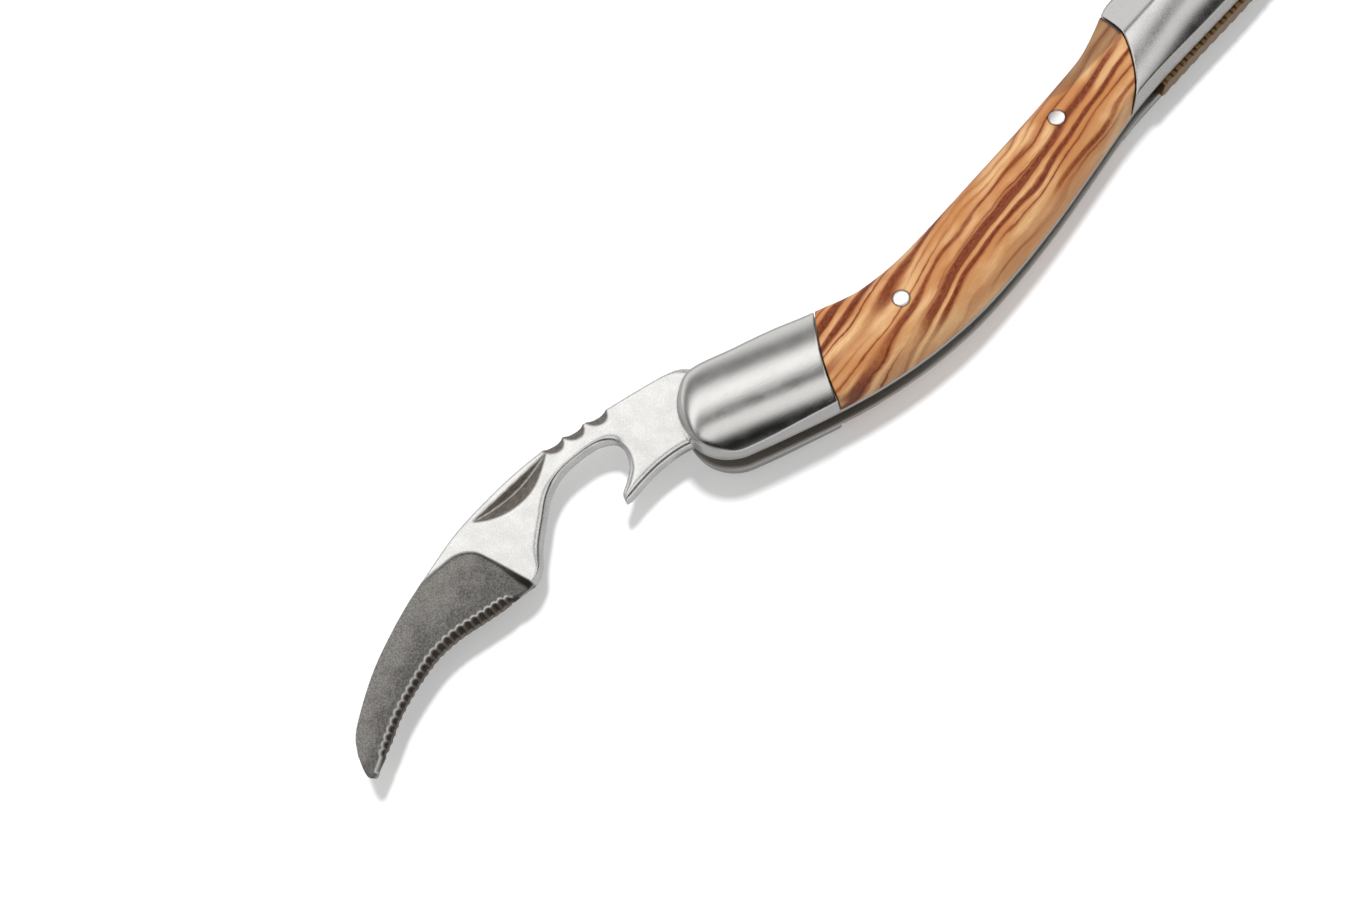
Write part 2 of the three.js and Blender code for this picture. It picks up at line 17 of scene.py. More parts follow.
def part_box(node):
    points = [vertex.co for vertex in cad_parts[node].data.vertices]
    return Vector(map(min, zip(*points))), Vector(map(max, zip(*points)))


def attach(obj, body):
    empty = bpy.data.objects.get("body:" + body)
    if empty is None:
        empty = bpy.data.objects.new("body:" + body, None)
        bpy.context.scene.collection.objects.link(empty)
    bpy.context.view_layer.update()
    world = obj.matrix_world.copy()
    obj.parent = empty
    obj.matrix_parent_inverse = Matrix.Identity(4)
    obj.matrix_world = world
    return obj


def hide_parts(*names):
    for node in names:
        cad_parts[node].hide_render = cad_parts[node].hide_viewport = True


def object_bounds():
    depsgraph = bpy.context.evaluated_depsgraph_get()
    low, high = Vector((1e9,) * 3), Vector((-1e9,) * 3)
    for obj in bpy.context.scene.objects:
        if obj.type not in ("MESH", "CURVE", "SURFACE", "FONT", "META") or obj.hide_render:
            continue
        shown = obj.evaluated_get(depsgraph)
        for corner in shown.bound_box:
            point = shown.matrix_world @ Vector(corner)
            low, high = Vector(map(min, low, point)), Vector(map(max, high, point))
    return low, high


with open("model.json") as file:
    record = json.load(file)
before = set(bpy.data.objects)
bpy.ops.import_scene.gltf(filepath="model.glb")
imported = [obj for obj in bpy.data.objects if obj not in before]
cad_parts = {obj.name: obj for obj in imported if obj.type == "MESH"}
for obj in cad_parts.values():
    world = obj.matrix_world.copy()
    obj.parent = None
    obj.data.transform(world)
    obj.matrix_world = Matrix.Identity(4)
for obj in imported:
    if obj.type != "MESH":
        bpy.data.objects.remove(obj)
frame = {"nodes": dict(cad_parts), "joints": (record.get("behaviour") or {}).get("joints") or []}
cad_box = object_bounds()

MM = 0.001
JOINTS = {joint["name"]: joint for joint in frame["joints"]}
ORIGIN = np.array(JOINTS["blade_fold"]["pos_m"]) / MM


def pivot_of(joint):
    return np.array(JOINTS[joint]["pos_m"]) / MM - ORIGIN


def node_box(node):
    low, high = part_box(node)
    return np.array(low) / MM - ORIGIN, np.array(high) / MM - ORIGIN


# Half thicknesses, heights over the middle plane and pivots, from the frame
SLOT_HALF, LINER_OUT = (corner[2] for corner in node_box("liner_top"))
CROWN_TOP = node_box("front_bolster_top")[1][2]
BLADE_HALF = node_box("blade")[1][2]
WASHER_GAP = 0.1
TANG_HALF = node_box("worm_washer_top")[0][2] - WASHER_GAP
LEVER_PIVOT = pivot_of("lever_fold")
WORM_PIVOT = pivot_of("worm_fold")

# Handle outline
NOSE_CENTER = (0, -0.6)
NOSE_R = 8.0
NOSE_TUCK = 0.55
END_R = 5.7
CONCAVE_EDGE = [
    (5.3, 5.5), (11, 4.0), (18, 1.75), (24, 0.7), (30, 0.45), (37, 1.1), (46, 2.35), (55, 3.6),
    (64, 5.0), (71, 6.3), (76.2, 8.0), (80.7, 10.1), (85, 11.6), (91, 12.5), (98, 12.9), (105, 13.0),
]
BELLY_EDGE = [
    (112.4, 1.4), (107, -0.2), (98, -1.8), (88, -3.0), (78, -4.2), (73, -5.0), (67, -6.5), (60.3, -8.3),
    (52, -10.4), (43, -12.2), (35, -13.3), (28, -13.5), (22, -13.15), (16, -12.3), (10, -11.0), (5, -9.7),
]

# Crown: an arch across the handle that rounds down at the nose, the end and the concave side
CROWN_AXIS = [
    (-8, 2.4), (0, -0.2), (5, -1.9), (10, -3.6), (15, -5.1), (20, -6.0), (28, -6.5), (37, -6.0),
    (46, -4.6), (55, -3.05), (64, -1.15), (71, 0.45), (76, 1.75), (85, 4.1), (91, 4.9), (98, 5.55),
    (105, 6.3), (112, 7.0),
]
ARCH_HALF = 7.0
ARCH_DROP = 1.7
ARCH_SQUARE = 0.7
ARCH_QUARTIC = 0.3
ARCH_BLEND = 0.7
EDGE_ROUND = 3.6
EDGE_FOOT = 4.6
EDGE_OVERSHOOT = 0.4
WALL_SLOPE = 0.03
STEEL_WALL_SLOPE = 0.14
WOOD_WALL_SLOPE = 0.32
CREASE_LIFT = 1.5

# Where the belly's crease fades in behind the nose and out ahead of the end
CREASE_IN = (-7, 4)
CREASE_OUT = (106, 114)

FRONT_JOINT = [(20.5, 9), (18.6, 4), (15.2, -1.2), (12.2, -7), (9.8, -15)]
REAR_JOINT = [(79.0, 16), (78.6, 12), (77.2, 4.3), (73.9, -2), (67.6, -9), (66.8, -12)]
JOINT_GAP = 0.16
JOINT_BREAK = 0.16
STEEL_CREASE = 0.25
WOOD_CREASE = 0.3
WOOD_CREASE_GAIN = 2.6
EDGE_BREAK = 0.25
FINE_BREAK = 0.12
LINER_SEAM = 0.02
PIN_SEAM = 0.06
PIN_PROUD = 0.03
BORE_CLEARANCE = 0.12
BORE_BREAK = 0.1
TANG_BREAK = 0.4

# Finger recess at the rear: the sloped facet's height is level + across * y + along * x
FACET_POINT = (77.7, 4.0, 7.5)
FACET_ACROSS = -0.61
FACET_ALONG = 0.087
FACET_SLOPE = math.hypot(1, FACET_ACROSS, FACET_ALONG)
FACET_START = 56
FACET_FADE = (FACET_START - 2, FACET_START + 10)
FACET_LIFT = 2.5
FACET_END = FACET_START - 8
ABOVE_CROWN = 20

GROOVE_START = (43.2, 3.03)
GROOVE_TILT = math.radians(8.4)
GROOVE_LENGTH = 41.5
GROOVE_R = 4.1


# ---------------------------------------------------------------- curves and fields

def smooth_curve(points, closed=False, per_span=10):
    """Points of a centripetal Catmull-Rom curve through the given ones."""
    keys = np.array(points, float)
    if closed:
        keys = np.vstack([keys[-1:], keys, keys[:2]])
    else:
        keys = np.vstack([2 * keys[:1] - keys[1:2], keys, 2 * keys[-1:] - keys[-2:-1]])
    curve = []
    for p0, p1, p2, p3 in zip(keys, keys[1:], keys[2:], keys[3:]):
        t1 = np.linalg.norm(p1 - p0) ** 0.5
        t2 = t1 + np.linalg.norm(p2 - p1) ** 0.5
        t3 = t2 + np.linalg.norm(p3 - p2) ** 0.5
        t = np.linspace(t1, t2, per_span, endpoint=False)[:, None]
        a1 = (t1 - t) / t1 * p0 + t / t1 * p1
        a2 = (t2 - t) / (t2 - t1) * p1 + (t - t1) / (t2 - t1) * p2
        a3 = (t3 - t) / (t3 - t2) * p2 + (t - t2) / (t3 - t2) * p3
        b1 = (t2 - t) / t2 * a1 + t / t2 * a2
        b2 = (t3 - t) / (t3 - t1) * a2 + (t - t1) / (t3 - t1) * a3
        curve.append((t2 - t) / (t2 - t1) * b1 + (t - t1) / (t2 - t1) * b2)
    if not closed:
        curve.append(keys[-2:-1])
    return np.vstack(curve)


def arc(center, radius, start, end, count):
    angles = np.radians(np.linspace(start, end, count))
    return np.column_stack([center[0] + radius * np.cos(angles), center[1] + radius * np.sin(angles)])


def smoothstep(value, low, high):
    share = np.clip((value - low) / (high - low), 0, 1)
    return share * share * (3 - 2 * share)


def smooth_max(a, b, k):
    """The larger of two fields, blended over a width k, which rounds an outer edge."""
    overlap = np.maximum(k - np.abs(a - b), 0) / k
    return np.maximum(a, b) + overlap * overlap * k / 4


def smooth_min(a, b, k):
    return -smooth_max(-a, -b, k)


def path_distance(path, x, y):
    """Distance in the plane to an open path, and how far along it the nearest point lies."""
    best = np.full(x.shape, np.inf, np.float32)
    along = np.zeros(x.shape, np.float32)
    walked = 0.0
    for (ax, ay), (bx, by) in zip(path, path[1:]):
        ex, ey = bx - ax, by - ay
        length = math.hypot(ex, ey)
        t = np.clip(((x - ax) * ex + (y - ay) * ey) / length**2, 0, 1)
        squared = (x - ax - t * ex) ** 2 + (y - ay - t * ey) ** 2
        nearer = squared < best
        best[nearer] = squared[nearer]
        along[nearer] = walked + t[nearer] * length
        walked += length
    return np.sqrt(best), along


def outline_distance(outline, x, y):
    """Signed distance in the plane to a closed outline, negative inside it."""
    closed = np.vstack([outline, outline[:1]])
    distance, _ = path_distance(closed, x, y)
    inside = np.zeros(x.shape, bool)
    for (ax, ay), (bx, by) in zip(closed, closed[1:]):
        if ay != by:
            inside ^= ((ay > y) != (by > y)) & (x < ax + (y - ay) * (bx - ax) / (by - ay))
    return np.where(inside, -distance, distance)


class Grid:
    """Sample points over a box in millimetres, with a margin that the surface doesn't reach."""

    def __init__(self, low, high, step):
        self.step = step
        self.low = np.array(low, float) - 3 * step
        counts = np.ceil((np.array(high) - self.low) / step).astype(int) + 4
        x, y, z = (self.low[i] + step * np.arange(counts[i]) for i in range(3))
        self.x, self.y = (plane.astype(np.float32) for plane in np.meshgrid(x, y, indexing="ij"))
        self.z = z.astype(np.float32)[None, None, :]

    def slope_length(self, height):
        """Length of a height's normal vector (1 where level), to turn heights into distances."""
        along, across = np.gradient(height, self.step)
        return np.sqrt(1 + np.minimum(along**2 + across**2, 16))


def solid(plan):
    """A field of the plane, for use with the grid's z."""
    return plan[:, :, None]


# ---------------------------------------------------------------- meshing

def surface_net(field):
    """Points (in grid steps) and quads of the field's zero surface: one point in each crossed cell."""
    shape = field.shape
    strides = (shape[1] * shape[2], shape[2], 1)
    cells, places, faces = [], [], []
    for axis in range(3):
        low = tuple(slice(0, -1) if i == axis else slice(None) for i in range(3))
        high = tuple(slice(1, None) if i == axis else slice(None) for i in range(3))
        a, b = field[low], field[high]
        index = np.argwhere((a < 0) != (b < 0))
        start, end = a[tuple(index.T)], b[tuple(index.T)]
        place = index.astype(float)
        place[:, axis] += start / (start - end)
        u, v = strides[(axis + 1) % 3], strides[(axis + 2) % 3]
        corner = index @ np.array(strides)
        around = np.stack([corner, corner - u, corner - u - v, corner - v], axis=1)
        outward = (start < 0)[:, None]
        faces.append(np.where(outward, around, around[:, ::-1]))
        cells.append(around.ravel())
        places.append(np.repeat(place, 4, axis=0))
    cells, places = np.concatenate(cells), np.concatenate(places)
    names, inverse = np.unique(cells, return_inverse=True)
    counts = np.bincount(inverse)
    points = np.stack([np.bincount(inverse, places[:, i]) / counts for i in range(3)], axis=1)
    quads = np.searchsorted(names, np.concatenate(faces))
    return points, quads


def sample(values, points):
    """Values of a grid array at points between its samples."""
    base = np.clip(np.floor(points).astype(int), 0, np.array(values.shape) - 2)
    share = points - base
    total = 0
    for corner in range(8):
        offset = np.array([corner >> 2 & 1, corner >> 1 & 1, corner & 1])
        weight = np.prod(np.where(offset, share, 1 - share), axis=1)
        total = total + weight * values[tuple((base + offset).T)]
    return total


def build(grid, field, masks=()):
    """Vertices, quads, normals and named masks of a field's surface, in millimetres."""
    field = np.ascontiguousarray(np.broadcast_to(field, grid.x.shape + (grid.z.shape[2],)))
    points, quads = surface_net(field)
    normals = np.stack([sample(part, points) for part in np.gradient(field)], axis=1)
    normals /= np.linalg.norm(normals, axis=1, keepdims=True) + 1e-9
    shades = {}
    for name, mask in masks:
        flat = np.broadcast_to(mask, field.shape)
        shades[name] = sample(flat, points)
    return {"points": grid.low + points * grid.step, "quads": quads, "normals": normals, "masks": shades}


def mirrored(part):
    flip = np.array([1, 1, -1])
    return {
        "points": part["points"] * flip, "quads": part["quads"][:, ::-1],
        "normals": part["normals"] * flip, "masks": part["masks"],
    }


def turned(part, pivot, angle):
    """A part drawn about its own pivot, turned by an angle and set on a pivot of the knife."""
    turn = np.array(Matrix.Rotation(angle, 3, "Z"))
    return {
        "points": part["points"] @ turn.T + pivot, "quads": part["quads"],
        "normals": part["normals"] @ turn.T, "masks": part["masks"],
    }


def piece(name, part, body, node, material):
    """A Blender object from a part, riding on a body in place of a CAD node."""
    mesh = bpy.data.meshes.new(name)
    mesh.from_pydata(((part["points"] + ORIGIN) * MM).tolist(), [], part["quads"].tolist())
    mesh.polygons.foreach_set("use_smooth", np.ones(len(mesh.polygons), bool))
    for mask, values in part["masks"].items():
        attribute = mesh.attributes.new(mask, "FLOAT", "POINT")
        attribute.data.foreach_set("value", values.astype(np.float32))
    mesh.update()
    mesh.normals_split_custom_set_from_vertices(part["normals"].tolist())
    mesh.materials.append(material)
    item = bpy.data.objects.new(name, mesh)
    bpy.context.scene.collection.objects.link(item)
    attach(item, body)
    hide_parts(node)
    return item


# ---------------------------------------------------------------- handle

def handle_outline():
    nose = arc(NOSE_CENTER, NOSE_R, 262, 104, 8)
    nose[:, 1] += NOSE_TUCK * smoothstep(-nose[:, 1], 2.0, NOSE_R)
    end = arc(LEVER_PIVOT, END_R, 80, -35, 7)
    return smooth_curve([*nose, *CONCAVE_EDGE, *end, *BELLY_EDGE], closed=True, per_span=6)


OUTLINE = handle_outline()


def crown_height(grid, inside):
    """Height of the crown over the plane; inside is the signed distance to the handle's outline."""
    axis = smooth_curve(CROWN_AXIS)
    tilt = np.gradient(axis[:, 1], axis[:, 0])
    level = np.interp(grid.x, axis[:, 0], axis[:, 1])
    lean = np.interp(grid.x, axis[:, 0], 1 / np.hypot(1, tilt))
    across = (grid.y - level) * lean / ARCH_HALF
    arch = CROWN_TOP - ARCH_DROP * (ARCH_SQUARE * across**2 + ARCH_QUARTIC * across**4)
    fade_out = smoothstep(-grid.x, -CREASE_OUT[1], -CREASE_OUT[0])
    belly_side = smoothstep(-across * ARCH_HALF, -1.5, 3.5) * fade_out * smoothstep(grid.x, *CREASE_IN)
    depth = np.clip(-inside + CREASE_LIFT * belly_side, 0, EDGE_ROUND)
    rise = np.sqrt(1 - (1 - depth / EDGE_ROUND) ** 2)
    edge = EDGE_FOOT + (CROWN_TOP + EDGE_OVERSHOOT - EDGE_FOOT) * rise
    return smooth_min(arch, edge, ARCH_BLEND)


def facet_height(grid):
    """Height of the finger recess's facet, which rises out of the crown towards the blade."""
    x, y, z = FACET_POINT
    height = z + FACET_ACROSS * (grid.y - y) + FACET_ALONG * (grid.x - x)
    height = height + FACET_LIFT * (1 - smoothstep(grid.x, *FACET_FADE))
    return height + ABOVE_CROWN * (grid.x < FACET_END)


def joint_distance(grid, joint):
    """Signed distance to a joint's curve, positive on the lever's side of it."""
    curve = smooth_curve(sorted(joint, key=lambda point: point[1]))
    reach = np.interp(grid.y, curve[:, 1], curve[:, 0])
    lean = np.interp(grid.y, curve[:, 1], np.gradient(curve[:, 0], curve[:, 1]))
    return (grid.x - reach) / np.hypot(1, lean)


def groove(grid):
    """Field of the U-shaped channel that the folded worm lies in, open to the concave side."""
    dx, dy = grid.x - GROOVE_START[0], grid.y - GROOVE_START[1]
    along = dx * math.cos(GROOVE_TILT) + dy * math.sin(GROOVE_TILT)
    up = dy * math.cos(GROOVE_TILT) - dx * math.sin(GROOVE_TILT)
    ends = np.abs(along - GROOVE_LENGTH / 2) - GROOVE_LENGTH / 2
    round_floor = np.hypot(solid(np.minimum(up, 0)), grid.z) - GROOVE_R
    return np.maximum(round_floor, solid(ends))


def crown_piece(node, step, limits, crease, belly_slope, pins=()):
    """A scale or a bolster: the crown between its joints, over the liner."""
    low, high = node_box(node)
    grid = Grid(low, high, step)
    inside = outline_distance(OUTLINE, grid.x, grid.y)
    height = crown_height(grid, inside)
    top = (grid.z - solid(height)) / solid(grid.slope_length(height))
    axis = np.interp(grid.x, *np.transpose(CROWN_AXIS))
    belly_side = smoothstep(axis - grid.y, 0, 2) * smoothstep(grid.x, -2, 9)
    slope = solid(WALL_SLOPE + (belly_slope - WALL_SLOPE) * belly_side)
    wall = (solid(inside) + slope * (grid.z - LINER_OUT)) / np.hypot(1, slope)
    ends = limits(grid)
    field = smooth_max(top, wall, solid(crease(ends)))
    facet = facet_height(grid)
    field = smooth_max(field, (grid.z - solid(facet)) / FACET_SLOPE, EDGE_BREAK)
    field = smooth_max(field, LINER_OUT + LINER_SEAM - grid.z, FINE_BREAK)
    field = smooth_max(field, solid(ends), JOINT_BREAK)
    field = smooth_max(field, -groove(grid), EDGE_BREAK)
    for pin in pins:
        center, radius = pin_of(pin)
        hole = radius + PIN_SEAM - np.hypot(grid.x - center[0], grid.y - center[1])
        field = smooth_max(field, solid(hole), FINE_BREAK)
    # Masks for painted light on the wood: a lighter belly side, shade in the finger recess, and shade beside
    # the rear joint inside it
    recess = smoothstep(height - facet, -0.1, 0.15) * smoothstep(grid.x, FACET_START, FACET_START + 12)
    shades = [
        ("belly", solid(smoothstep(axis - grid.y, 2.0, 6.5))), ("recess", solid(recess)),
        ("joint", solid(smoothstep(ends, -0.5, -0.3) * recess)),
    ]
    return build(grid, field, shades)


def pin_of(node):
    """Center in the plane and radius of a round node."""
    low, high = node_box(node)
    return (low + high)[:2] / 2, (high[0] - low[0]) / 2


def bore(grid, pin):
    """Field of the bore around a pivot pin at the origin, positive inside it."""
    return solid(pin_of(pin)[1] + BORE_CLEARANCE - np.hypot(grid.x, grid.y))


def scale_pin(node, step=0.09):
    """A pin filed flush with the crown on both sides."""
    center, radius = pin_of(node)
    low, high = node_box(node)
    grid = Grid(low, high, step)
    height = crown_height(grid, outline_distance(OUTLINE, grid.x, grid.y)) + PIN_PROUD
    shaft = np.hypot(grid.x - center[0], grid.y - center[1]) - radius
    top = (np.abs(grid.z) - solid(height)) / solid(grid.slope_length(height))
    facet = (np.abs(grid.z) - solid(facet_height(grid)) - PIN_PROUD) / FACET_SLOPE
    return build(grid, smooth_max(smooth_max(solid(shaft), top, 0.14), facet, 0.1))


def liner(step=0.2):
    """The upper liner, with a mask for painted shade on its slot side that fades towards the middle of the
    handle.
    """
    low, high = node_box("liner_top")
    grid = Grid(low, high, step)
    inside = solid(outline_distance(OUTLINE, grid.x, grid.y))
    middle = (SLOT_HALF + LINER_OUT) / 2
    field = smooth_max(inside, np.abs(grid.z - middle) - (LINER_OUT - SLOT_HALF) / 2, 0.3)
    # Painted shade on the slot side of the liner, darkest near the nose where the slot is deep
    painted_slot_shade = smoothstep(-np.abs(grid.z), -SLOT_HALF - 0.3, -SLOT_HALF - 0.1)
    painted_slot_shade = painted_slot_shade * solid(1 - 0.5 * smoothstep(grid.x, 12, 34))
    return build(grid, smooth_max(field, -groove(grid), EDGE_BREAK), [("painted_slot_shade", painted_slot_shade)])


# ---------------------------------------------------------------- springs

CENTER_SPRING_TOP = [
    (0.3, 6.95), (5, 5.4), (11, 3.8), (18, 1.55), (24, 0.5), (30, 0.25), (37, 0.9), (40.5, 0.6),
    (43.5, -1.35), (52, -0.15), (62, 1.3), (72, 2.8), (80, 3.9), (85, 3.4), (90, 3.0), (97, 3.0),
]
CENTER_SPRING_BOTTOM = [
    (97, 1.1), (88, 0.9), (80, 1.3), (72, 1.0), (66, -0.6), (58, -2.2), (50, -3.0), (43, -2.95),
    (38, -2.2), (33, -1.8), (26, -1.4), (20, -0.6), (14, 1.2), (8, 3.1), (4, 4.75), (0.3, 6.15),
]
REAR_SPRING_BACK = [(78.3, -4.85), (88, -3.65), (98, -2.45), (106, -1.05), (110.5, 0.2), (113.6, 1.5)]
REAR_SPRING_INSIDE = [(113.6, 2.0), (110.5, 2.4), (106, 2.2), (100, 1.5), (94, 0.3), (86, -0.6), (78.3, -1.3)]
FILEWORK_PITCH = 2.2
FILEWORK_R = 0.62
FILEWORK_DEPTH = 1.0
PLATE_GAP = 0.03


def plate(node, outline, step, rounding):
    """Grid and field of a flat plate between the liners, which it doesn't quite touch."""
    low, high = node_box(node)
    grid = Grid(low, high, step)
    inside = solid(outline_distance(outline, grid.x, grid.y))
    return grid, smooth_max(inside, np.abs(grid.z) - high[2] + PLATE_GAP, rounding)


def center_spring():
    outline = np.vstack([smooth_curve(CENTER_SPRING_TOP), smooth_curve(CENTER_SPRING_BOTTOM)])
    return build(*plate("center_spring", outline, 0.2, 0.35))


def rear_spring():
    """The rear spring has half-round file cuts along both corners of its back."""
    back = smooth_curve(REAR_SPRING_BACK)
    outline = np.vstack([back, smooth_curve(REAR_SPRING_INSIDE)])
    grid, field = plate("rear_spring", outline, 0.13, 0.3)
    depth, along = path_distance(back, grid.x, grid.y)
    between = (along / FILEWORK_PITCH + 0.5) % 1 - 0.5
    cut = FILEWORK_R - np.hypot(solid(between * FILEWORK_PITCH), np.abs(grid.z) - SLOT_HALF)
    cut = np.minimum(cut, solid(FILEWORK_DEPTH - depth))
    return build(grid, smooth_max(field, cut, FINE_BREAK))


# ---------------------------------------------------------------- blade

TANG_R = 5.8
SPINE = [
    (-0.2, 8.1), (-1.4, 9.3), (-3.3, 10.1), (-11, 11.55), (-17, 12.4), (-24.9, 13.35), (-30, 13.4),
    (-35.5, 13.0), (-42, 12.05), (-48, 10.3), (-53.5, 8.5), (-58, 6.6), (-62.5, 4.3), (-67, 1.2),
    (-70.2, -1.6), (-71.5, -4.0),
]
TIP = [(-71.5, -4.0), (-72.1, -6.3), (-72.05, -7.4), (-71.5, -7.75), (-70.6, -7.35)]
CUTTING_EDGE = [
    (-70.6, -7.35), (-67.3, -5.6), (-63.5, -3.35), (-58.3, -1.35), (-54.6, -0.4), (-50.6, -0.25),
    (-46.4, -0.75), (-43.1, -1.1), (-40.8, -1.1),
]
HEEL = [(-38.6, -1.1), (-37.3, -0.85), (-36.2, -0.4), (-35.4, 0.1), (-35.0, 0.6)]
NOTCH = [
    (-35.0, 0.6), (-33.6, 2.4), (-31.0, 4.9), (-28.2, 7.4), (-24.8, 8.9), (-21.0, 9.1), (-18.0, 8.6),
    (-16.0, 7.3), (-15.7, 5.6), (-16.6, 3.3), (-18.3, 1.8), (-19.9, 0.7), (-20.4, -0.6),
]
HOOK_EDGE = [(-19.4, -0.7), (-16.5, -0.2), (-13, 0.1), (-8.7, -0.3), (-5.6, -1.5)]
GRIND_BORDER = [
    (-75, 9.8), (-50.2, 9.7), (-47, 9.75), (-43.6, 9.5), (-41.4, 8.1), (-40.2, 5.8), (-37.7, -0.5),
]
GRIND_BEYOND = [(-37.7, -20), (-95, -20), (-95, 9.8)]
GRIND_SPINE_DEPTH = 0.1
GRIND_EDGE_DEPTH = 0.5
GRIND_HOLLOW = 0.7
GRIND_WALL = 0.45
PLUNGE_WALL = 1.25
PLUNGE_END = -44
LOWER_THINNING = 0.55
BEVEL_HEEL_WIDTH = 1.2
BEVEL_TIP_WIDTH = 0.6
BEVEL_END_SHARE = 0.3
BEVEL_PAST_MIDDLE = 0.15
BEVEL_REACH = 4
BEVEL_HEEL_END = -38.4
FLUTE_PITCH = 1.17
FLUTE_DEPTH = 0.36
FLUTE_START = 0.7
FLUTE_END = 29.4
FLUTE_FADE = 0.3
EDGE_ROUNDING = 0.18
NOTCH_ROUNDING = 1.0
NICK_BACK = [(-39.2, 11.75), (-24.3, 12.75)]
NICK_BELLY = [
    (-39.2, 11.75), (-37.0, 10.35), (-34.4, 9.45), (-31.4, 9.25), (-28.9, 9.8), (-26.7, 11.0), (-24.3, 12.75),
]
NICK_WALL_SLOPE = 0.75
NICK_FLOOR_SLOPE = 0.36
NICK_SLOPE_LENGTH = 1.15
NICK_BREAK = 0.05
SCALLOPS = [(-15.2, 12.0), (-19.1, 12.55), (-22.6, 12.95)]
SCALLOP_R = 1.75
SCALLOP_OFFSET = 0.92
SCALLOP_LEAN = math.radians(45)
SCALLOP_STEEP = 1.25
SCALLOP_LONG = 0.8
SCALLOP_BREAK = 0.08

# A field value that is far enough from the surface to change nothing
OUTSIDE = 9


def blade_outline():
    tang = arc((0, 0), TANG_R, 195, 448, 40)
    return np.vstack([
        smooth_curve(SPINE), smooth_curve(TIP)[1:], smooth_curve(CUTTING_EDGE)[1:], HEEL,
        smooth_curve(NOTCH)[1:], smooth_curve(HOOK_EDGE), tang, [(-0.2, TANG_R)],
    ])


def nail_nick(grid):
    """Depth of the nail nick, and 1 along its lowest line.

    The nick has a steep wall below its straight back and a long slope up to its belly.
    """
    belly = smooth_curve(NICK_BELLY)
    inside = outline_distance(belly, grid.x, grid.y)
    from_back, _ = path_distance(np.array(NICK_BACK), grid.x, grid.y)
    from_belly, _ = path_distance(belly, grid.x, grid.y)
    wall, floor = NICK_WALL_SLOPE * from_back, NICK_FLOOR_SLOPE * from_belly
    depth = np.where(inside < 0, np.minimum(wall, floor), -np.minimum(inside, 1) * NICK_FLOOR_SLOPE)
    # A mask for a painted highlight along the nick's lowest line
    painted_valley_highlight = smoothstep(-np.abs(wall - floor), -0.17, -0.05) * smoothstep(-inside, 0.1, 0.3)
    return depth, painted_valley_highlight


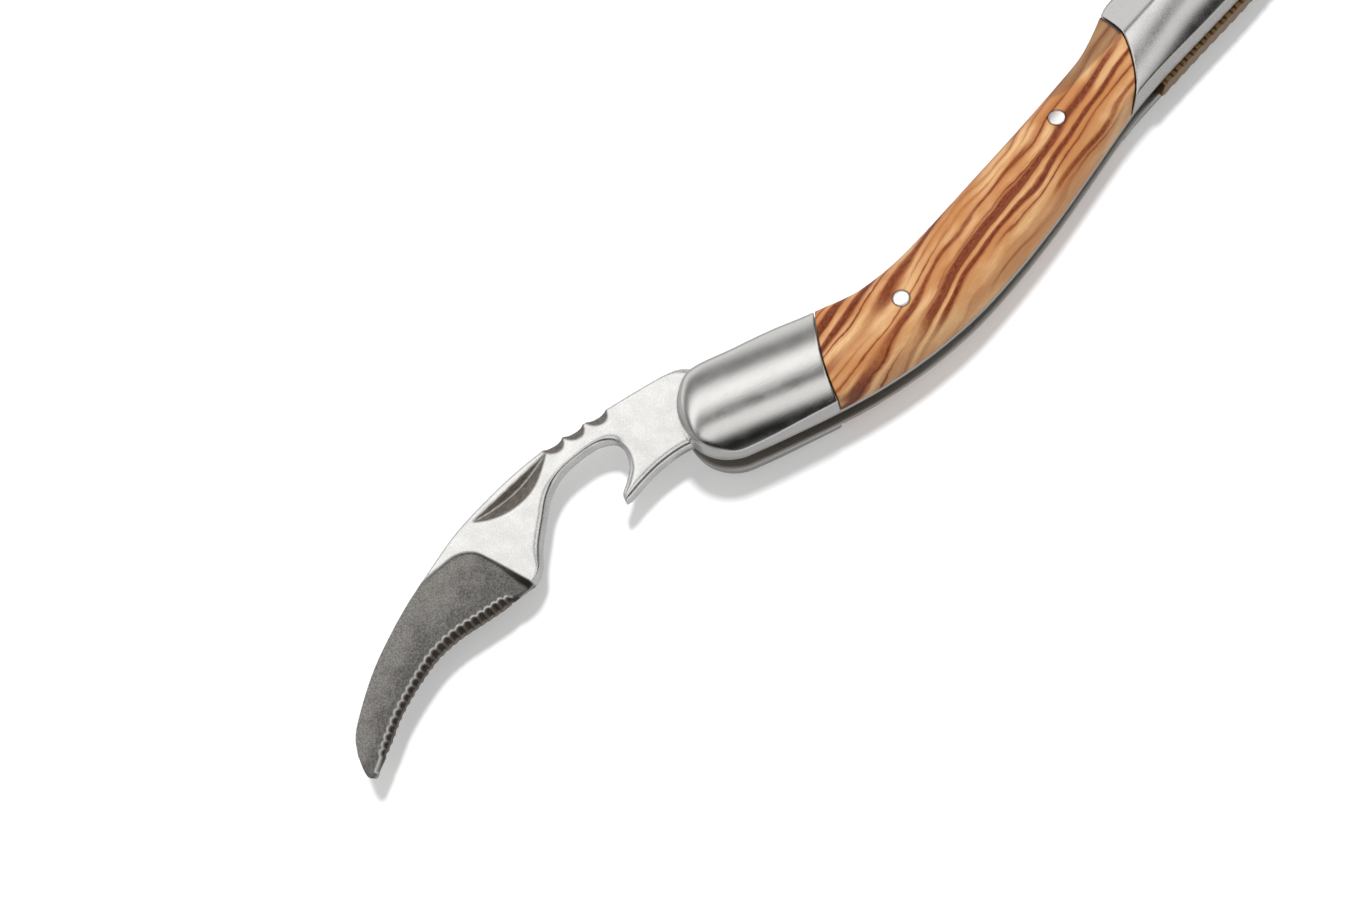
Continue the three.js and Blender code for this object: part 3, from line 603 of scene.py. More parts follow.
def blade(step=0.14):
    """The blade, with masks for its ground faces, its serrated bevel and its filed cuts."""
    low, high = node_box("blade")
    grid = Grid(low, high, step)
    inside = outline_distance(blade_outline(), grid.x, grid.y)
    edge_path = smooth_curve(CUTTING_EDGE)
    from_edge, along = path_distance(edge_path, grid.x, grid.y)
    from_spine, _ = path_distance(smooth_curve(SPINE[5:]), grid.x, grid.y)

    # Ground faces: hollow, and deeper towards the cutting edge
    border = np.vstack([smooth_curve(GRIND_BORDER), GRIND_BEYOND])
    beyond = outline_distance(border, grid.x, grid.y)
    share = from_spine / (from_spine + from_edge + 0.01)
    ground = GRIND_SPINE_DEPTH + (GRIND_EDGE_DEPTH - GRIND_SPINE_DEPTH) * share**GRIND_HOLLOW
    plunge = smoothstep(-grid.y, -6.3, 0.5) * (grid.x > PLUNGE_END)
    wall = GRIND_WALL + (PLUNGE_WALL - GRIND_WALL) * plunge
    ground_wall = smoothstep(-beyond, 0, wall)
    face = BLADE_HALF - ground * ground_wall

    # Serrated bevel: flutes ground across the edge from the upper face only
    phase = (along - FLUTE_START) / FLUTE_PITCH
    length = np.linalg.norm(np.diff(edge_path, axis=0), axis=1).sum()
    heel_to_tip = length - along
    fluted = smoothstep(heel_to_tip, FLUTE_START - FLUTE_FADE, FLUTE_START + FLUTE_FADE)
    fluted = fluted * (1 - smoothstep(heel_to_tip, FLUTE_END - FLUTE_FADE, FLUTE_END + FLUTE_FADE))
    flute = FLUTE_DEPTH * (1 - (2 * (phase % 1) - 1) ** 2) * fluted
    width = BEVEL_HEEL_WIDTH + (BEVEL_TIP_WIDTH - BEVEL_HEEL_WIDTH) * smoothstep(heel_to_tip, 8, 24)
    full = smoothstep(heel_to_tip, -0.5, 2.5) * smoothstep(along, 0.0, 5)
    width = width * (BEVEL_END_SHARE + (1 - BEVEL_END_SHARE) * full)
    bevel_drop = face + BEVEL_PAST_MIDDLE
    bevel = face - bevel_drop * (1 - (from_edge - flute) / width)
    bevel_field = (grid.z - solid(bevel)) / solid(np.hypot(1, bevel_drop / width))
    near_edge = (grid.x < BEVEL_HEEL_END) & (from_edge < BEVEL_REACH)
    on_edge = solid(np.where(near_edge, 0, OUTSIDE).astype(np.float32))

    near_notch = smoothstep(-grid.y, -10.5, -8.5) * smoothstep(grid.x, -37, -34.5)
    rounding = solid(EDGE_ROUNDING + NOTCH_ROUNDING * near_notch)
    top = smooth_max(grid.z - solid(face), bevel_field - on_edge, 0.12)
    lower_face = BLADE_HALF - (ground + LOWER_THINNING * share**3) * ground_wall
    field = smooth_max(smooth_max(top, -grid.z - solid(lower_face), 0.1), solid(inside), rounding)

    nick, painted_valley_highlight = nail_nick(grid)
    filed = scallops(grid)
    field = smooth_max(field, (grid.z - BLADE_HALF + solid(nick)) / NICK_SLOPE_LENGTH, NICK_BREAK)
    field = smooth_max(field, filed, SCALLOP_BREAK)
    field = smooth_max(field, bore(grid, "blade_pivot_pin"), BORE_BREAK)

    on_top = smoothstep(grid.z, 0.2, 0.5)
    bevel_mask = solid(smoothstep(width + flute - from_edge, -0.05, 0.2) * smoothstep(-beyond, 0, 0.3))
    ground_mask = solid(smoothstep(-beyond, -0.1, 0.2)) * (np.abs(grid.z) > 0.15)
    nick_mask = solid(smoothstep(nick, 0, 0.05)) * on_top
    cut_mask = smoothstep(filed, -0.3, -0.1)
    plunge_wall_shade = solid(smoothstep(-beyond, 0.0, 0.15) * smoothstep(wall + beyond, 0.0, 0.3) * plunge)
    # A painted highlight along the top edge of the serrated bevel
    painted_rim_highlight = smoothstep(-np.abs(from_edge - width - flute - 0.08), -0.19, -0.06) * smoothstep(-beyond, 0, 0.3)
    # Masks of painted light: painted shade on the grinds, the bevel and the plunge wall, and painted
    # highlights on the teeth, the rim and the nick's valley
    masks = [
        ("ground", ground_mask), ("bevel", bevel_mask * smoothstep(grid.z, -0.4, 0)),
        ("nick", np.maximum(nick_mask, cut_mask)), ("plunge", plunge_wall_shade * on_top),
        ("painted_rim_highlight", solid(painted_rim_highlight * (heel_to_tip > 0.3) * (from_edge < BEVEL_REACH)) * on_top),
        ("painted_grind_shade", solid(share)), ("painted_valley_highlight", solid(painted_valley_highlight) * on_top),
        ("painted_tooth_highlight", solid(smoothstep(np.abs(2 * (phase % 1) - 1), 0.45, 0.95) * fluted)),
    ]
    return build(grid, field, masks)


def scallops(grid):
    """Field of half-moons filed at a slant into both edges of the spine, positive inside them."""
    cut = np.float32(-OUTSIDE)
    for x, y in SCALLOPS:
        for side in (1, -1):
            out, up = grid.y - y, side * grid.z - BLADE_HALF
            depth = solid(out) * math.cos(SCALLOP_LEAN) + up * math.sin(SCALLOP_LEAN) - SCALLOP_OFFSET
            dx = grid.x - x
            skew = solid(np.where(dx > 0, dx * SCALLOP_STEEP, dx * SCALLOP_LONG))
            cut = np.maximum(cut, SCALLOP_R - np.hypot(skew, depth))
    return cut


# ---------------------------------------------------------------- worm

WORM_AXIS_OFFSET = 2.62
WORM_TANG_R = 4.2
WORM_SHANK_R = 1.5
WORM_WIRE_R = 1.15
WORM_HELIX_R = 2.45
WORM_PITCH = 7.6
WORM_LENGTH = 47.2
WORM_SHANK_START = 5.5
WORM_COIL_START = 8.5
WORM_COIL_OPENING = 5
WORM_TIP_TAPER = 9
WORM_GROOVE_R = 0.3
WORM_GROOVE_FADE_IN = (14, 16)
WORM_GROOVE_FADE_OUT = (36, 40)
WORM_TAPER_END = 18
WORM_NECK = [(0, -3.9), (7.5, -4.32), (7.5, -0.92), (2.6, 3.0)]


def worm(step=0.12):
    """The worm about its own pivot, with its tip along +x and a fine groove along the wire."""
    reach = WORM_HELIX_R + WORM_WIRE_R
    grid = Grid((-WORM_TANG_R, -WORM_AXIS_OFFSET - reach, -reach), (WORM_LENGTH, WORM_TANG_R, reach), step)
    y, z = grid.y[:, :, None] + WORM_AXIS_OFFSET, grid.z
    x = grid.x[:, :, None]
    turn = np.arctan2(z, y) / (2 * np.pi)
    nearest = np.round((x - WORM_COIL_START) / WORM_PITCH - turn)
    center = WORM_COIL_START + WORM_PITCH * (nearest + turn)
    opening = smoothstep(x, WORM_COIL_START, WORM_COIL_START + WORM_COIL_OPENING)
    radius = WORM_HELIX_R * opening
    lead = 2 * np.pi * radius / np.hypot(2 * np.pi * radius, WORM_PITCH)
    out, side = np.hypot(y, z) - radius, (x - center) * lead
    at = np.where(opening < 1, x, center)
    body = WORM_SHANK_R + (WORM_WIRE_R - WORM_SHANK_R) * smoothstep(at, WORM_SHANK_START, WORM_TAPER_END)
    wire_r = body * np.clip((WORM_LENGTH - at) / WORM_TIP_TAPER, 0.1, 1)
    wire = np.maximum(np.hypot(out, side) - wire_r, WORM_SHANK_START - x)
    wire = np.maximum(wire, at - WORM_LENGTH)
    fade_in, fade_out = smoothstep(at, *WORM_GROOVE_FADE_IN), smoothstep(at, *WORM_GROOVE_FADE_OUT)
    cut = WORM_GROOVE_R - np.hypot(out - wire_r, side) - 3 * (1 - fade_in) - 3 * fade_out
    wire = smooth_max(wire, cut, 0.1)
    tang = np.hypot(grid.x, grid.y) - WORM_TANG_R
    neck = outline_distance(np.array(WORM_NECK), grid.x, grid.y)
    flat = smooth_max(solid(smooth_min(tang, neck, 1.5)), np.abs(grid.z) - TANG_HALF, TANG_BREAK)
    return build(grid, smooth_max(smooth_min(flat, wire, 1.2), bore(grid, "worm_pivot_pin"), BORE_BREAK))


# ---------------------------------------------------------------- lever

LEVER_UNDERSIDE = [(-4.8, 6.3), (-9, 6.4), (-16, 6.2), (-22, 5.6), (-28, 4.2), (-33, 2.4), (-36.2, 1.2)]
LEVER_FOOT = [(-37.8, 0.9), (-39.0, 2.0), (-38.6, 3.4)]
LEVER_BACK = [(-38.6, 3.4), (-35, 6.0), (-28, 8.1), (-20, 9.4), (-11, 9.8), (-6.2, 8.9), (-4.8, 7.4)]
LEVER_NECK = [(-8.5, 7.0), (-3.9, -1.6), (1.2, 4.2), (-5.5, 7.4)]
LEVER_BEAM_HALF = 6.0
LEVER_BEAM_BREAK = 1.3
LEVER_FORK_HALF = 4.2
LEVER_FORK_END = -11
LEVER_FORK_BREAK = 0.5
LEVER_KNUCKLE_R = 4.4
LEVER_TIP = -39.5
LEVER_TOP = 10


def lever(step=0.19):
    """The boot lever about its own pivot, closed, with its fork along -x."""
    low = (LEVER_TIP, -LEVER_KNUCKLE_R, -LEVER_BEAM_HALF)
    grid = Grid(low, (LEVER_KNUCKLE_R, LEVER_TOP, LEVER_BEAM_HALF), step)
    profile = np.vstack([smooth_curve(LEVER_UNDERSIDE), LEVER_FOOT, smooth_curve(LEVER_BACK)[1:]])
    beam = solid(outline_distance(profile, grid.x, grid.y))
    beam = smooth_max(beam, np.abs(grid.z) - LEVER_BEAM_HALF, LEVER_BEAM_BREAK)
    past_fork = np.maximum(grid.x - LEVER_FORK_END, 0)
    fork = LEVER_FORK_HALF - np.hypot(solid(past_fork), grid.z)
    beam = smooth_max(beam, fork, LEVER_FORK_BREAK)
    knuckle = np.hypot(grid.x, grid.y) - LEVER_KNUCKLE_R
    neck = outline_distance(np.array(LEVER_NECK), grid.x, grid.y)
    tongue = smooth_max(solid(smooth_min(knuckle, neck, 1.0)), np.abs(grid.z) - TANG_HALF, TANG_BREAK)
    return build(grid, smooth_max(smooth_min(beam, tongue, 0.8), bore(grid, "lever_pivot_pin"), BORE_BREAK))


# ---------------------------------------------------------------- materials

class Shader:
    """A material's node tree, with coordinates in millimetres of the knife's own frame."""

    def __init__(self, name):
        self.material = bpy.data.materials.new(name)
        self.material.use_nodes = True
        self.tree = self.material.node_tree
        self.principled = next(n for n in self.tree.nodes if n.type == "BSDF_PRINCIPLED")
        self.place = self.scaled(self.add("ShaderNodeTexCoord").outputs["Object"], (1 / MM,) * 3)

    def add(self, kind, inputs=None, **settings):
        node = self.tree.nodes.new(kind)
        for name, value in settings.items():
            setattr(node, name, value)
        for name, value in (inputs or {}).items():
            self.set(node, name, value)
        return node

    def set(self, node, name, value):
        if isinstance(value, bpy.types.NodeSocket):
            self.tree.links.new(value, node.inputs[name])
        else:
            node.inputs[name].default_value = value

    def scaled(self, vector, scale, angle=0.0):
        node = self.add("ShaderNodeMapping", {"Vector": vector, "Rotation": (0, 0, angle), "Scale": scale})
        return node.outputs["Vector"]

    def noise(self, vector, scale, detail=2.0, roughness=0.5, distortion=0.0):
        inputs = {"Vector": vector, "Scale": scale, "Detail": detail, "Roughness": roughness,
                  "Distortion": distortion}
        return self.add("ShaderNodeTexNoise", inputs).outputs["Fac"]

    def math(self, operation, *values):
        node = self.add("ShaderNodeMath", operation=operation)
        for i, value in enumerate(values):
            self.set(node, i, value)
        return node.outputs[0]

    def spread(self, value, low, high, to_low=0.0, to_high=1.0, curve="SMOOTHSTEP"):
        inputs = {"Value": value, "From Min": low, "From Max": high, "To Min": to_low, "To Max": to_high}
        return self.add("ShaderNodeMapRange", inputs, interpolation_type=curve).outputs["Result"]

    def mix(self, factor, a, b):
        """A blend of two colors. The node has a socket of each name for every data type."""
        node = self.add("ShaderNodeMix", data_type="RGBA")
        for name, kind, value in (("Factor", "VALUE", factor), ("A", "RGBA", a), ("B", "RGBA", b)):
            socket = next(s for s in node.inputs if (s.name, s.type) == (name, kind))
            if isinstance(value, bpy.types.NodeSocket):
                self.tree.links.new(value, socket)
            else:
                socket.default_value = value
        return next(s for s in node.outputs if s.type == "RGBA")

    def attribute(self, name):
        return self.add("ShaderNodeAttribute", attribute_name=name).outputs["Fac"]

    def bump(self, height, strength, distance_mm, normal=None):
        inputs = {"Height": height, "Strength": strength, "Distance": distance_mm * MM}
        if normal is not None:
            inputs["Normal"] = normal
        return self.add("ShaderNodeBump", inputs).outputs["Normal"]

    def finish(self, **inputs):
        for name, value in inputs.items():
            self.set(self.principled, name.replace("_", " ").title().replace("Ior", "IOR"), value)
        return self.material


def rgb(*values):
    return (*values, 1.0)


def satin_steel(name, color, roughness=0.3, grain=0.05, angle=0.0, wear=0.06, inside=None):
    """Steel with fine brushing along a direction, soft mottling and a fine speckle.

    A color for inside paints shade on the surfaces that the slot side's mask picks out, and makes them less
    metallic.
    """
    s = Shader(name)
    brushed = s.noise(s.scaled(s.place, (1.1, 9, 9), angle), 1.0, 3)
    speckle = s.noise(s.place, 4.5, 3, 0.7)
    mottle = s.noise(s.place, 0.35, 3)
    tone = s.math("ADD", s.spread(brushed, 0.3, 0.7, -wear, wear), s.spread(mottle, 0.3, 0.7, -wear, wear))
    dull, bright = [0.82 * c for c in color], [min(1, 1.12 * c) for c in color]
    base = s.mix(s.math("ADD", 0.5, tone), rgb(*dull), rgb(*bright))
    metallic = 1.0
    if inside is not None:
        # Painted shade inside the slot
        base = s.mix(s.attribute("painted_slot_shade"), base, rgb(*inside))
        metallic = s.spread(s.attribute("painted_slot_shade"), 0, 1, 1.0, 0.25)
    level = s.spread(mottle, 0.3, 0.7, roughness - 0.025, roughness + 0.025)
    rough = s.math("ADD", s.spread(speckle, 0.3, 0.7, -0.03, 0.03), level)
    normal = s.bump(s.math("ADD", brushed, speckle), grain, 0.05)
    return s.finish(base_color=base, metallic=metallic, roughness=rough, normal=normal)


def blade_steel():
    """Bright satin flats; dark grainy hollow grinds with painted shade towards the edge and on the plunge
    wall; painted shade on the serrated bevel, with painted highlights on its teeth and rim; a painted
    highlight along the nick's valley; dark file-cut surfaces.
    """
    s = Shader("blade_steel")
    ground = s.attribute("ground")
    filed = s.attribute("nick")
    painted_grind_shade = s.attribute("painted_grind_shade")
    fine = s.noise(s.place, 6.0, 3, 0.6)
    mottle = s.noise(s.place, 0.4, 3)
    grit = s.noise(s.place, 4.6, 3, 0.7)
    scratch = s.noise(s.scaled(s.place, (1, 6, 6)), 1.2, 3)
    flat = s.mix(s.spread(mottle, 0.3, 0.7), rgb(0.82, 0.82, 0.81), rgb(0.92, 0.92, 0.91))
    cloud = s.spread(s.noise(s.place, 0.3, 3, 0.6), 0.35, 0.65, -0.18, 0.18)
    light = s.mix(s.spread(grit, 0.36, 0.64), rgb(0.27, 0.26, 0.247), rgb(0.51, 0.495, 0.47))
    dark = s.mix(s.spread(grit, 0.36, 0.64), rgb(0.15, 0.144, 0.137), rgb(0.32, 0.31, 0.295))
    # Painted shade on the hollow grinds, darker towards the cutting edge, for their darker reflection
    blasted = s.mix(s.spread(s.math("ADD", painted_grind_shade, cloud), 0.15, 0.75), light, dark)
    cut = s.mix(s.spread(scratch, 0.35, 0.65), rgb(0.20, 0.175, 0.15), rgb(0.42, 0.385, 0.35))
    # Painted shade on the serrated bevel, lighter on the teeth as a painted highlight
    painted_bevel_shade = s.mix(s.spread(fine, 0.35, 0.65), rgb(0.03, 0.022, 0.018), rgb(0.12, 0.095, 0.08))
    painted_bevel_shade = s.mix(s.math("MULTIPLY", s.attribute("painted_tooth_highlight"), 0.8), painted_bevel_shade, rgb(0.24, 0.21, 0.185))
    color = s.mix(ground, flat, blasted)
    # Painted shade on the plunge wall at the heel of the grind
    color = s.mix(s.attribute("plunge"), color, rgb(0.05, 0.047, 0.044))
    color = s.mix(filed, color, cut)
    # Painted highlight along the nick's lowest line
    color = s.mix(s.attribute("painted_valley_highlight"), color, rgb(0.92, 0.90, 0.86))
    color = s.mix(s.attribute("bevel"), color, painted_bevel_shade)
    # Painted highlight along the bevel's rim
    color = s.mix(s.attribute("painted_rim_highlight"), color, rgb(0.98, 0.97, 0.95))
    worked = s.math("MAXIMUM", ground, filed)
    worked = s.math("SUBTRACT", worked, s.math("MULTIPLY", s.attribute("painted_rim_highlight"), 0.8))
    rough = s.math("ADD", s.spread(worked, 0, 1, 0.27, 0.5), s.spread(fine, 0.3, 0.7, -0.04, 0.04))
    relief = s.math("ADD", s.math("MULTIPLY", fine, 0.25), s.math("MULTIPLY", grit, worked))
    normal = s.bump(relief, 0.25, 0.06)
    return s.finish(base_color=color, metallic=1.0, roughness=rough, normal=normal)


GRAIN_ANGLE = math.radians(14)


def olive_wood():
    """Olive wood: honey ground, tan zones and irregular dark reddish-brown streaks with soft halos."""
    s = Shader("olive_wood")
    grain = s.scaled(s.place, (1, 1, 1), -GRAIN_ANGLE)
    along, across, _ = s.add("ShaderNodeSeparateXYZ", {"Vector": grain}).outputs

    def sway(scale, detail, reach):
        """A shift across the grain, in millimetres."""
        centered = s.math("SUBTRACT", s.noise(s.scaled(grain, scale), 1, detail), 0.5)
        return s.math("MULTIPLY", centered, reach)

    bend = sway((0.04, 0.10, 0.10), 2, 6.0)
    wiggle = sway((0.14, 0.4, 0.4), 2, 0.6)
    jitter = sway((0.9, 2.8, 2.8), 3, 0.26)
    ring = s.math("ADD", s.math("ADD", across, bend), s.math("ADD", wiggle, jitter))

    def streaks(pitch, seed, low, high):
        """Distance in millimetres past lines at irregular spacings, and the nearest line's strength."""
        spread_out = s.math("MULTIPLY", ring, 0.55 / pitch)
        warp_place = s.add("ShaderNodeCombineXYZ", {"Y": spread_out, "Z": seed}).outputs[0]
        warp = s.math("MULTIPLY", s.noise(warp_place, 1.0, 1.0), 1.9)
        phase = s.math("ADD", s.math("DIVIDE", ring, pitch), warp)
        past = s.math("MULTIPLY", s.math("SUBTRACT", s.math("FRACT", phase), 0.5), pitch)
        drift = s.math("MULTIPLY", along, 0.03)
        number = s.math("MULTIPLY", s.math("FLOOR", phase), 5.37)
        which = s.add("ShaderNodeCombineXYZ", {"X": drift, "Y": number, "Z": seed}).outputs[0]
        return past, s.spread(s.noise(which, 1.0, 2.0), low, high)

    def line(past, width):
        """1 on the line and 0 past its width."""
        return s.spread(s.math("ABSOLUTE", past), width * 0.5, width, 1.0, 0.0)

    patch = s.noise(s.scaled(grain, (0.035, 0.13, 0.13)), 1, 2)
    ripple = s.spread(s.noise(s.scaled(grain, (1.6, 4.5, 4.5)), 1, 3, 0.7), 0.35, 0.62, 0.3, 1.0)
    streak, strong = streaks(2.7, 8.7, 0.41, 0.56)
    thread, clear = streaks(1.35, 3.1, 0.40, 0.56)
    spot = s.math("DIVIDE", streak, s.spread(patch, 0.35, 0.6, 0.7, 1.7))
    core = s.math("MULTIPLY", s.math("MULTIPLY", line(spot, 0.34), strong), ripple)
    edge = s.math("MULTIPLY", line(spot, 0.56), s.spread(strong, 0, 1, 0.2, 1.0))
    before, after = s.spread(streak, -1.2, -0.1), s.spread(streak, 0.1, 1.0, 1.0, 0.0)
    halo = s.math("MULTIPLY", s.math("MULTIPLY", before, after), s.spread(strong, 0, 1, 0.3, 0.9))
    faint = s.math("MULTIPLY", clear, s.spread(patch, 0.36, 0.52, 0.3, 1.0))
    thin = s.math("MULTIPLY", line(thread, 0.17), faint)
    thin_halo = s.math("MULTIPLY", line(thread, 0.5), clear)
    fiber = s.noise(s.scaled(grain, (0.5, 7, 7)), 1, 4, 0.65)
    blotch = s.noise(s.scaled(grain, (0.07, 0.2, 0.2)), 1, 3)

    color = s.mix(s.spread(blotch, 0.40, 0.62), rgb(0.45, 0.20, 0.072), rgb(0.66, 0.42, 0.21))
    # A lighter tone painted on the belly side, as painted sheen where the wood is seen at a grazing angle
    color = s.mix(s.math("MULTIPLY", s.attribute("belly"), 0.45), color, rgb(0.64, 0.40, 0.195))
    color = s.mix(s.spread(fiber, 0.3, 0.7, 0.0, 0.35), color, rgb(0.36, 0.15, 0.05))
    color = s.mix(s.math("MULTIPLY", halo, 0.7), color, rgb(0.36, 0.118, 0.03))
    color = s.mix(s.math("MULTIPLY", thin_halo, 0.5), color, rgb(0.38, 0.13, 0.036))
    color = s.mix(s.math("MULTIPLY", edge, 0.8), color, rgb(0.21, 0.04, 0.009))
    color = s.mix(s.math("MULTIPLY", thin, 0.9), color, rgb(0.155, 0.027, 0.007))
    color = s.mix(core, color, rgb(0.095, 0.015, 0.005))
    pores = s.spread(s.noise(s.scaled(grain, (1.2, 11, 11)), 1, 2), 0.64, 0.72)
    color = s.mix(s.math("MULTIPLY", pores, 0.4), color, rgb(0.18, 0.07, 0.03))
    # Painted shade in the finger recess
    color = s.mix(s.math("MULTIPLY", s.attribute("recess"), 0.6), color, rgb(0.10, 0.045, 0.02))
    # Painted shade of the rear joint's gap where it runs through the finger recess
    color = s.mix(s.attribute("joint"), color, rgb(0.02, 0.012, 0.008))
    relief = s.math("SUBTRACT", s.math("MULTIPLY", fiber, 0.6), s.math("MULTIPLY", pores, 0.5))
    return s.finish(
        base_color=color, roughness=s.spread(fiber, 0.3, 0.7, 0.34, 0.46), normal=s.bump(relief, 0.12, 0.05),
        coat_weight=0.05, coat_roughness=0.25, specular_ior_level=0.3,
    )


def floor_material():
    """A pale floor that looks even to the camera, and gray in the steel's reflections."""
    s = Shader("floor")
    tone = s.spread(s.noise(s.place, 0.02, 2), 0.3, 0.7, 0.0, 1.0)
    pale = s.mix(tone, rgb(0.9, 0.9, 0.9), rgb(0.92, 0.92, 0.92))
    ray = s.add("ShaderNodeLightPath")
    color = s.mix(ray.outputs["Is Glossy Ray"], pale, rgb(0.24, 0.24, 0.24))
    color = s.mix(ray.outputs["Is Camera Ray"], color, rgb(0.62, 0.62, 0.62))
    lift = s.math("MULTIPLY", ray.outputs["Is Camera Ray"], 0.33)
    lift = s.math("ADD", lift, s.math("MULTIPLY", ray.outputs["Is Glossy Ray"], 0.17))
    return s.finish(base_color=color, roughness=0.9, emission_color=rgb(1, 1, 1), emission_strength=lift)


bolster_steel = satin_steel("bolster_steel", (0.76, 0.755, 0.745), 0.19, 0.13, math.radians(20), 0.07)
soft_steel = satin_steel("soft_steel", (0.75, 0.74, 0.735), 0.25, 0.05, math.radians(8), 0.05)
# The liners' slot side gets a painted dark tone for the shade inside the slot
liner_steel = satin_steel("liner_steel", (0.62, 0.61, 0.59), 0.32, inside=(0.24, 0.215, 0.19))
spring_steel = satin_steel("spring_steel", (0.30, 0.28, 0.25), 0.4)
# The rear spring's brown is a painted reflection of brown surroundings
brown_painted_reflection_steel = satin_steel("brown_painted_reflection_steel", (0.34, 0.215, 0.11), 0.38)
pin_steel = satin_steel("pin_steel", (0.93, 0.92, 0.90), 0.2, grain=0.02)
worm_steel = satin_steel("worm_steel", (0.80, 0.80, 0.79), 0.16, grain=0.02)
lever_steel = satin_steel("lever_steel", (0.76, 0.755, 0.745), 0.22)
washer_bronze = satin_steel("washer_bronze", (0.70, 0.50, 0.25), 0.3)
wood = olive_wood()


# ---------------------------------------------------------------- pieces

def add_pair(node, part, material):
    """The upper piece and its mirror image below the middle plane."""
    piece(f"{node}_top_finished", part, "handle", f"{node}_top", material)
    piece(f"{node}_bottom_finished", mirrored(part), "handle", f"{node}_bottom", material)


def front_limit(grid):
    return joint_distance(grid, FRONT_JOINT) + JOINT_GAP / 2


def rear_limit(grid):
    return JOINT_GAP / 2 - joint_distance(grid, REAR_JOINT)


def wood_limits(grid):
    front = JOINT_GAP / 2 - joint_distance(grid, FRONT_JOINT)
    rear = joint_distance(grid, REAR_JOINT) + JOINT_GAP / 2
    return np.maximum(front, rear)


def steel_crease(ends):
    return np.full_like(ends, STEEL_CREASE)


def wood_crease(ends):
    """The wood's edge is crisp at its joints and round between them."""
    return WOOD_CREASE + WOOD_CREASE_GAIN * smoothstep(-ends, 0.0, 7.0)


front_bolster = crown_piece("front_bolster_top", 0.14, front_limit, steel_crease, STEEL_WALL_SLOPE)
rear_bolster = crown_piece("rear_bolster_top", 0.15, rear_limit, steel_crease, STEEL_WALL_SLOPE)
scale_pins = ("scale_pin_front", "scale_pin_rear")
wood_scale = crown_piece("wood_scale_top", 0.17, wood_limits, wood_crease, WOOD_WALL_SLOPE, scale_pins)
add_pair("front_bolster", front_bolster, bolster_steel)
add_pair("wood_scale", wood_scale, wood)
add_pair("rear_bolster", rear_bolster, soft_steel)
add_pair("liner", liner(), liner_steel)
for node in scale_pins:
    piece(f"{node}_finished", scale_pin(node), "handle", node, pin_steel)
piece("center_spring_finished", center_spring(), "handle", "center_spring", spring_steel)
piece("rear_spring_finished", rear_spring(), "handle", "rear_spring", brown_painted_reflection_steel)

piece("blade_finished", blade(), "blade", "blade", blade_steel())
worm_angle = math.pi + GROOVE_TILT - math.radians(JOINTS["worm_fold"]["range_deg"][1])
piece("worm_finished", turned(worm(), WORM_PIVOT, worm_angle), "worm", "worm", worm_steel)
lever_angle = -math.radians(JOINTS["lever_fold"]["range_deg"][1])
piece("lever_finished", turned(lever(), LEVER_PIVOT, lever_angle), "lever", "lever", lever_steel)

# The hidden pins and the washers keep their CAD shape, with a small rounding
CAD_ROUNDING = 0.05
for node, item in frame["nodes"].items():
    if item.hide_render:
        continue
    item.data.materials.clear()
    item.data.materials.append(washer_bronze if "washer" in node else pin_steel)
    rounding = item.modifiers.new("rounding", "BEVEL")
    rounding.width = CAD_ROUNDING * MM
    rounding.segments = 2
    rounding.limit_method = "ANGLE"


# ---------------------------------------------------------------- floor, light and camera

FLOOR_HALF = 4.0
FLOOR_GAP = 0.05 * MM


def add_floor():
    mesh = bpy.data.meshes.new("floor")
    corners = [(x * FLOOR_HALF, y * FLOOR_HALF, 0) for x, y in ((-1, -1), (1, -1), (1, 1), (-1, 1))]
    mesh.from_pydata(corners, [], [(0, 1, 2, 3)])
    mesh.materials.append(floor_material())
    floor = bpy.data.objects.new("floor", mesh)
    floor.location.z = cad_box[0].z - FLOOR_GAP
    bpy.context.scene.collection.objects.link(floor)


# Brightness of the studio by the angle in degrees from overhead, positive towards the concave side
STUDIO = [
    (-90, 0.80), (-72, 0.75), (-61, 0.5), (-54, 0.12), (-47, 0.02), (-33, 0.015), (-28, 0.06), (-23, 0.35),
    (-17, 0.8), (-6, 1.0), (0, 0.9), (2.5, 0.5), (4.5, 0.03), (10, 0.03), (12.5, 0.6), (15, 1.1),
    (20, 1.4), (26, 1.15), (31, 0.65), (37, 0.36), (45, 0.26), (56, 0.48), (70, 0.8), (90, 0.9),
]
STUDIO_PEAK = 1.5
SIDE_SHARE = 0.35


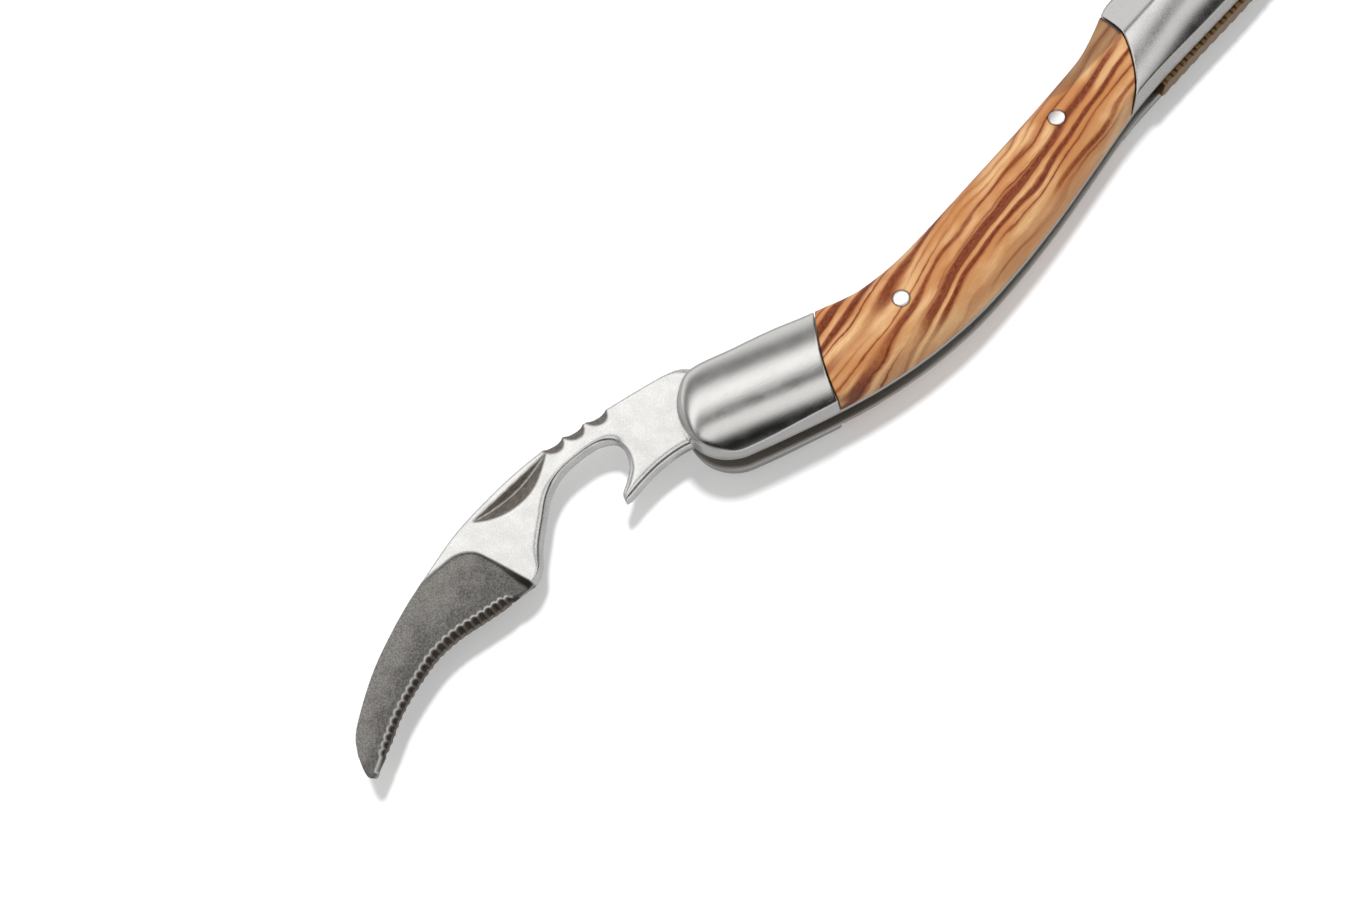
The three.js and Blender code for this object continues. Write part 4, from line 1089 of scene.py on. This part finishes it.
def add_studio():
    """A soft surround that polished steel mirrors as bands. The camera sees a plain pale tone."""
    world = bpy.data.worlds.new("studio")
    bpy.context.scene.world = world
    world.use_nodes = True
    tree = world.node_tree
    tree.nodes.clear()
    place = tree.nodes.new("ShaderNodeTexCoord")
    split = tree.nodes.new("ShaderNodeSeparateXYZ")
    tree.links.new(place.outputs["Generated"], split.inputs[0])
    angle = tree.nodes.new("ShaderNodeMath")
    angle.operation = "ARCTAN2"
    tree.links.new(split.outputs["Y"], angle.inputs[0])
    tree.links.new(split.outputs["Z"], angle.inputs[1])
    share = tree.nodes.new("ShaderNodeMapRange")
    share.inputs["From Min"].default_value = -math.pi / 2
    share.inputs["From Max"].default_value = math.pi / 2
    tree.links.new(angle.outputs[0], share.inputs["Value"])
    curve = tree.nodes.new("ShaderNodeFloatCurve")
    points = curve.mapping.curves[0].points
    spots = [((degrees + 90) / 180, brightness / STUDIO_PEAK) for degrees, brightness in STUDIO]
    points[0].location, points[1].location = spots[0], spots[-1]
    for spot in spots[1:-1]:
        points.new(*spot)
    curve.mapping.update()
    tree.links.new(share.outputs["Result"], curve.inputs["Value"])
    side = tree.nodes.new("ShaderNodeMath")
    side.operation = "ABSOLUTE"
    tree.links.new(split.outputs["X"], side.inputs[0])
    dim = tree.nodes.new("ShaderNodeMapRange")
    dimming = {"From Min": 0.5, "From Max": 0.95, "To Min": STUDIO_PEAK, "To Max": SIDE_SHARE * STUDIO_PEAK}
    for name, value in dimming.items():
        dim.inputs[name].default_value = value
    tree.links.new(side.outputs[0], dim.inputs["Value"])
    level = tree.nodes.new("ShaderNodeMath")
    level.operation = "MULTIPLY"
    tree.links.new(curve.outputs["Value"], level.inputs[0])
    tree.links.new(dim.outputs["Result"], level.inputs[1])
    soft = tree.nodes.new("ShaderNodeBackground")
    soft.inputs["Color"].default_value = rgb(1.0, 0.99, 0.975)
    tree.links.new(level.outputs[0], soft.inputs["Strength"])
    plain = tree.nodes.new("ShaderNodeBackground")
    plain.inputs["Color"].default_value = rgb(0.96, 0.96, 0.96)
    seen = tree.nodes.new("ShaderNodeLightPath")
    choice = tree.nodes.new("ShaderNodeMixShader")
    tree.links.new(seen.outputs["Is Camera Ray"], choice.inputs["Fac"])
    tree.links.new(soft.outputs[0], choice.inputs[1])
    tree.links.new(plain.outputs[0], choice.inputs[2])
    output = tree.nodes.new("ShaderNodeOutputWorld")
    tree.links.new(choice.outputs[0], output.inputs["Surface"])


LAMP_PLACE = Vector((0.12, 0.115, 0.75))
LAMP_SIZE = 0.09
LAMP_POWER = 5.6


def add_key_light():
    """A small soft lamp over the concave side, which throws a shadow along the belly."""
    light = bpy.data.lights.new("key", "AREA")
    light.shape = "DISK"
    light.size = LAMP_SIZE
    light.energy = LAMP_POWER
    lamp = bpy.data.objects.new("key", light)
    lamp.location = LAMP_PLACE
    lamp.rotation_euler = (-LAMP_PLACE).to_track_quat("-Z", "Y").to_euler()
    lamp.visible_glossy = False
    bpy.context.scene.collection.objects.link(lamp)


CAMERA_PLACE = Vector((-0.0639, -0.0575, 0.2127))
CAMERA_AIM = Vector((-0.0501, 0.0062, 0.0077))
CAMERA_UP = Vector((0.6396, 0.7209, 0.2669))
CAMERA_LENS = 40.0


def add_camera():
    camera = bpy.data.objects.new("camera", bpy.data.cameras.new("camera"))
    camera.data.lens = CAMERA_LENS
    camera.data.clip_start = 0.01
    back = (CAMERA_PLACE - CAMERA_AIM).normalized()
    right = CAMERA_UP.cross(back).normalized()
    turn = Matrix((right, back.cross(right), back)).transposed()
    camera.matrix_world = Matrix.Translation(CAMERA_PLACE) @ turn.to_4x4()
    bpy.context.scene.collection.objects.link(camera)
    bpy.context.scene.camera = camera


add_floor()
add_studio()
add_key_light()
add_camera()
bpy.context.scene.view_settings.view_transform = "Standard"
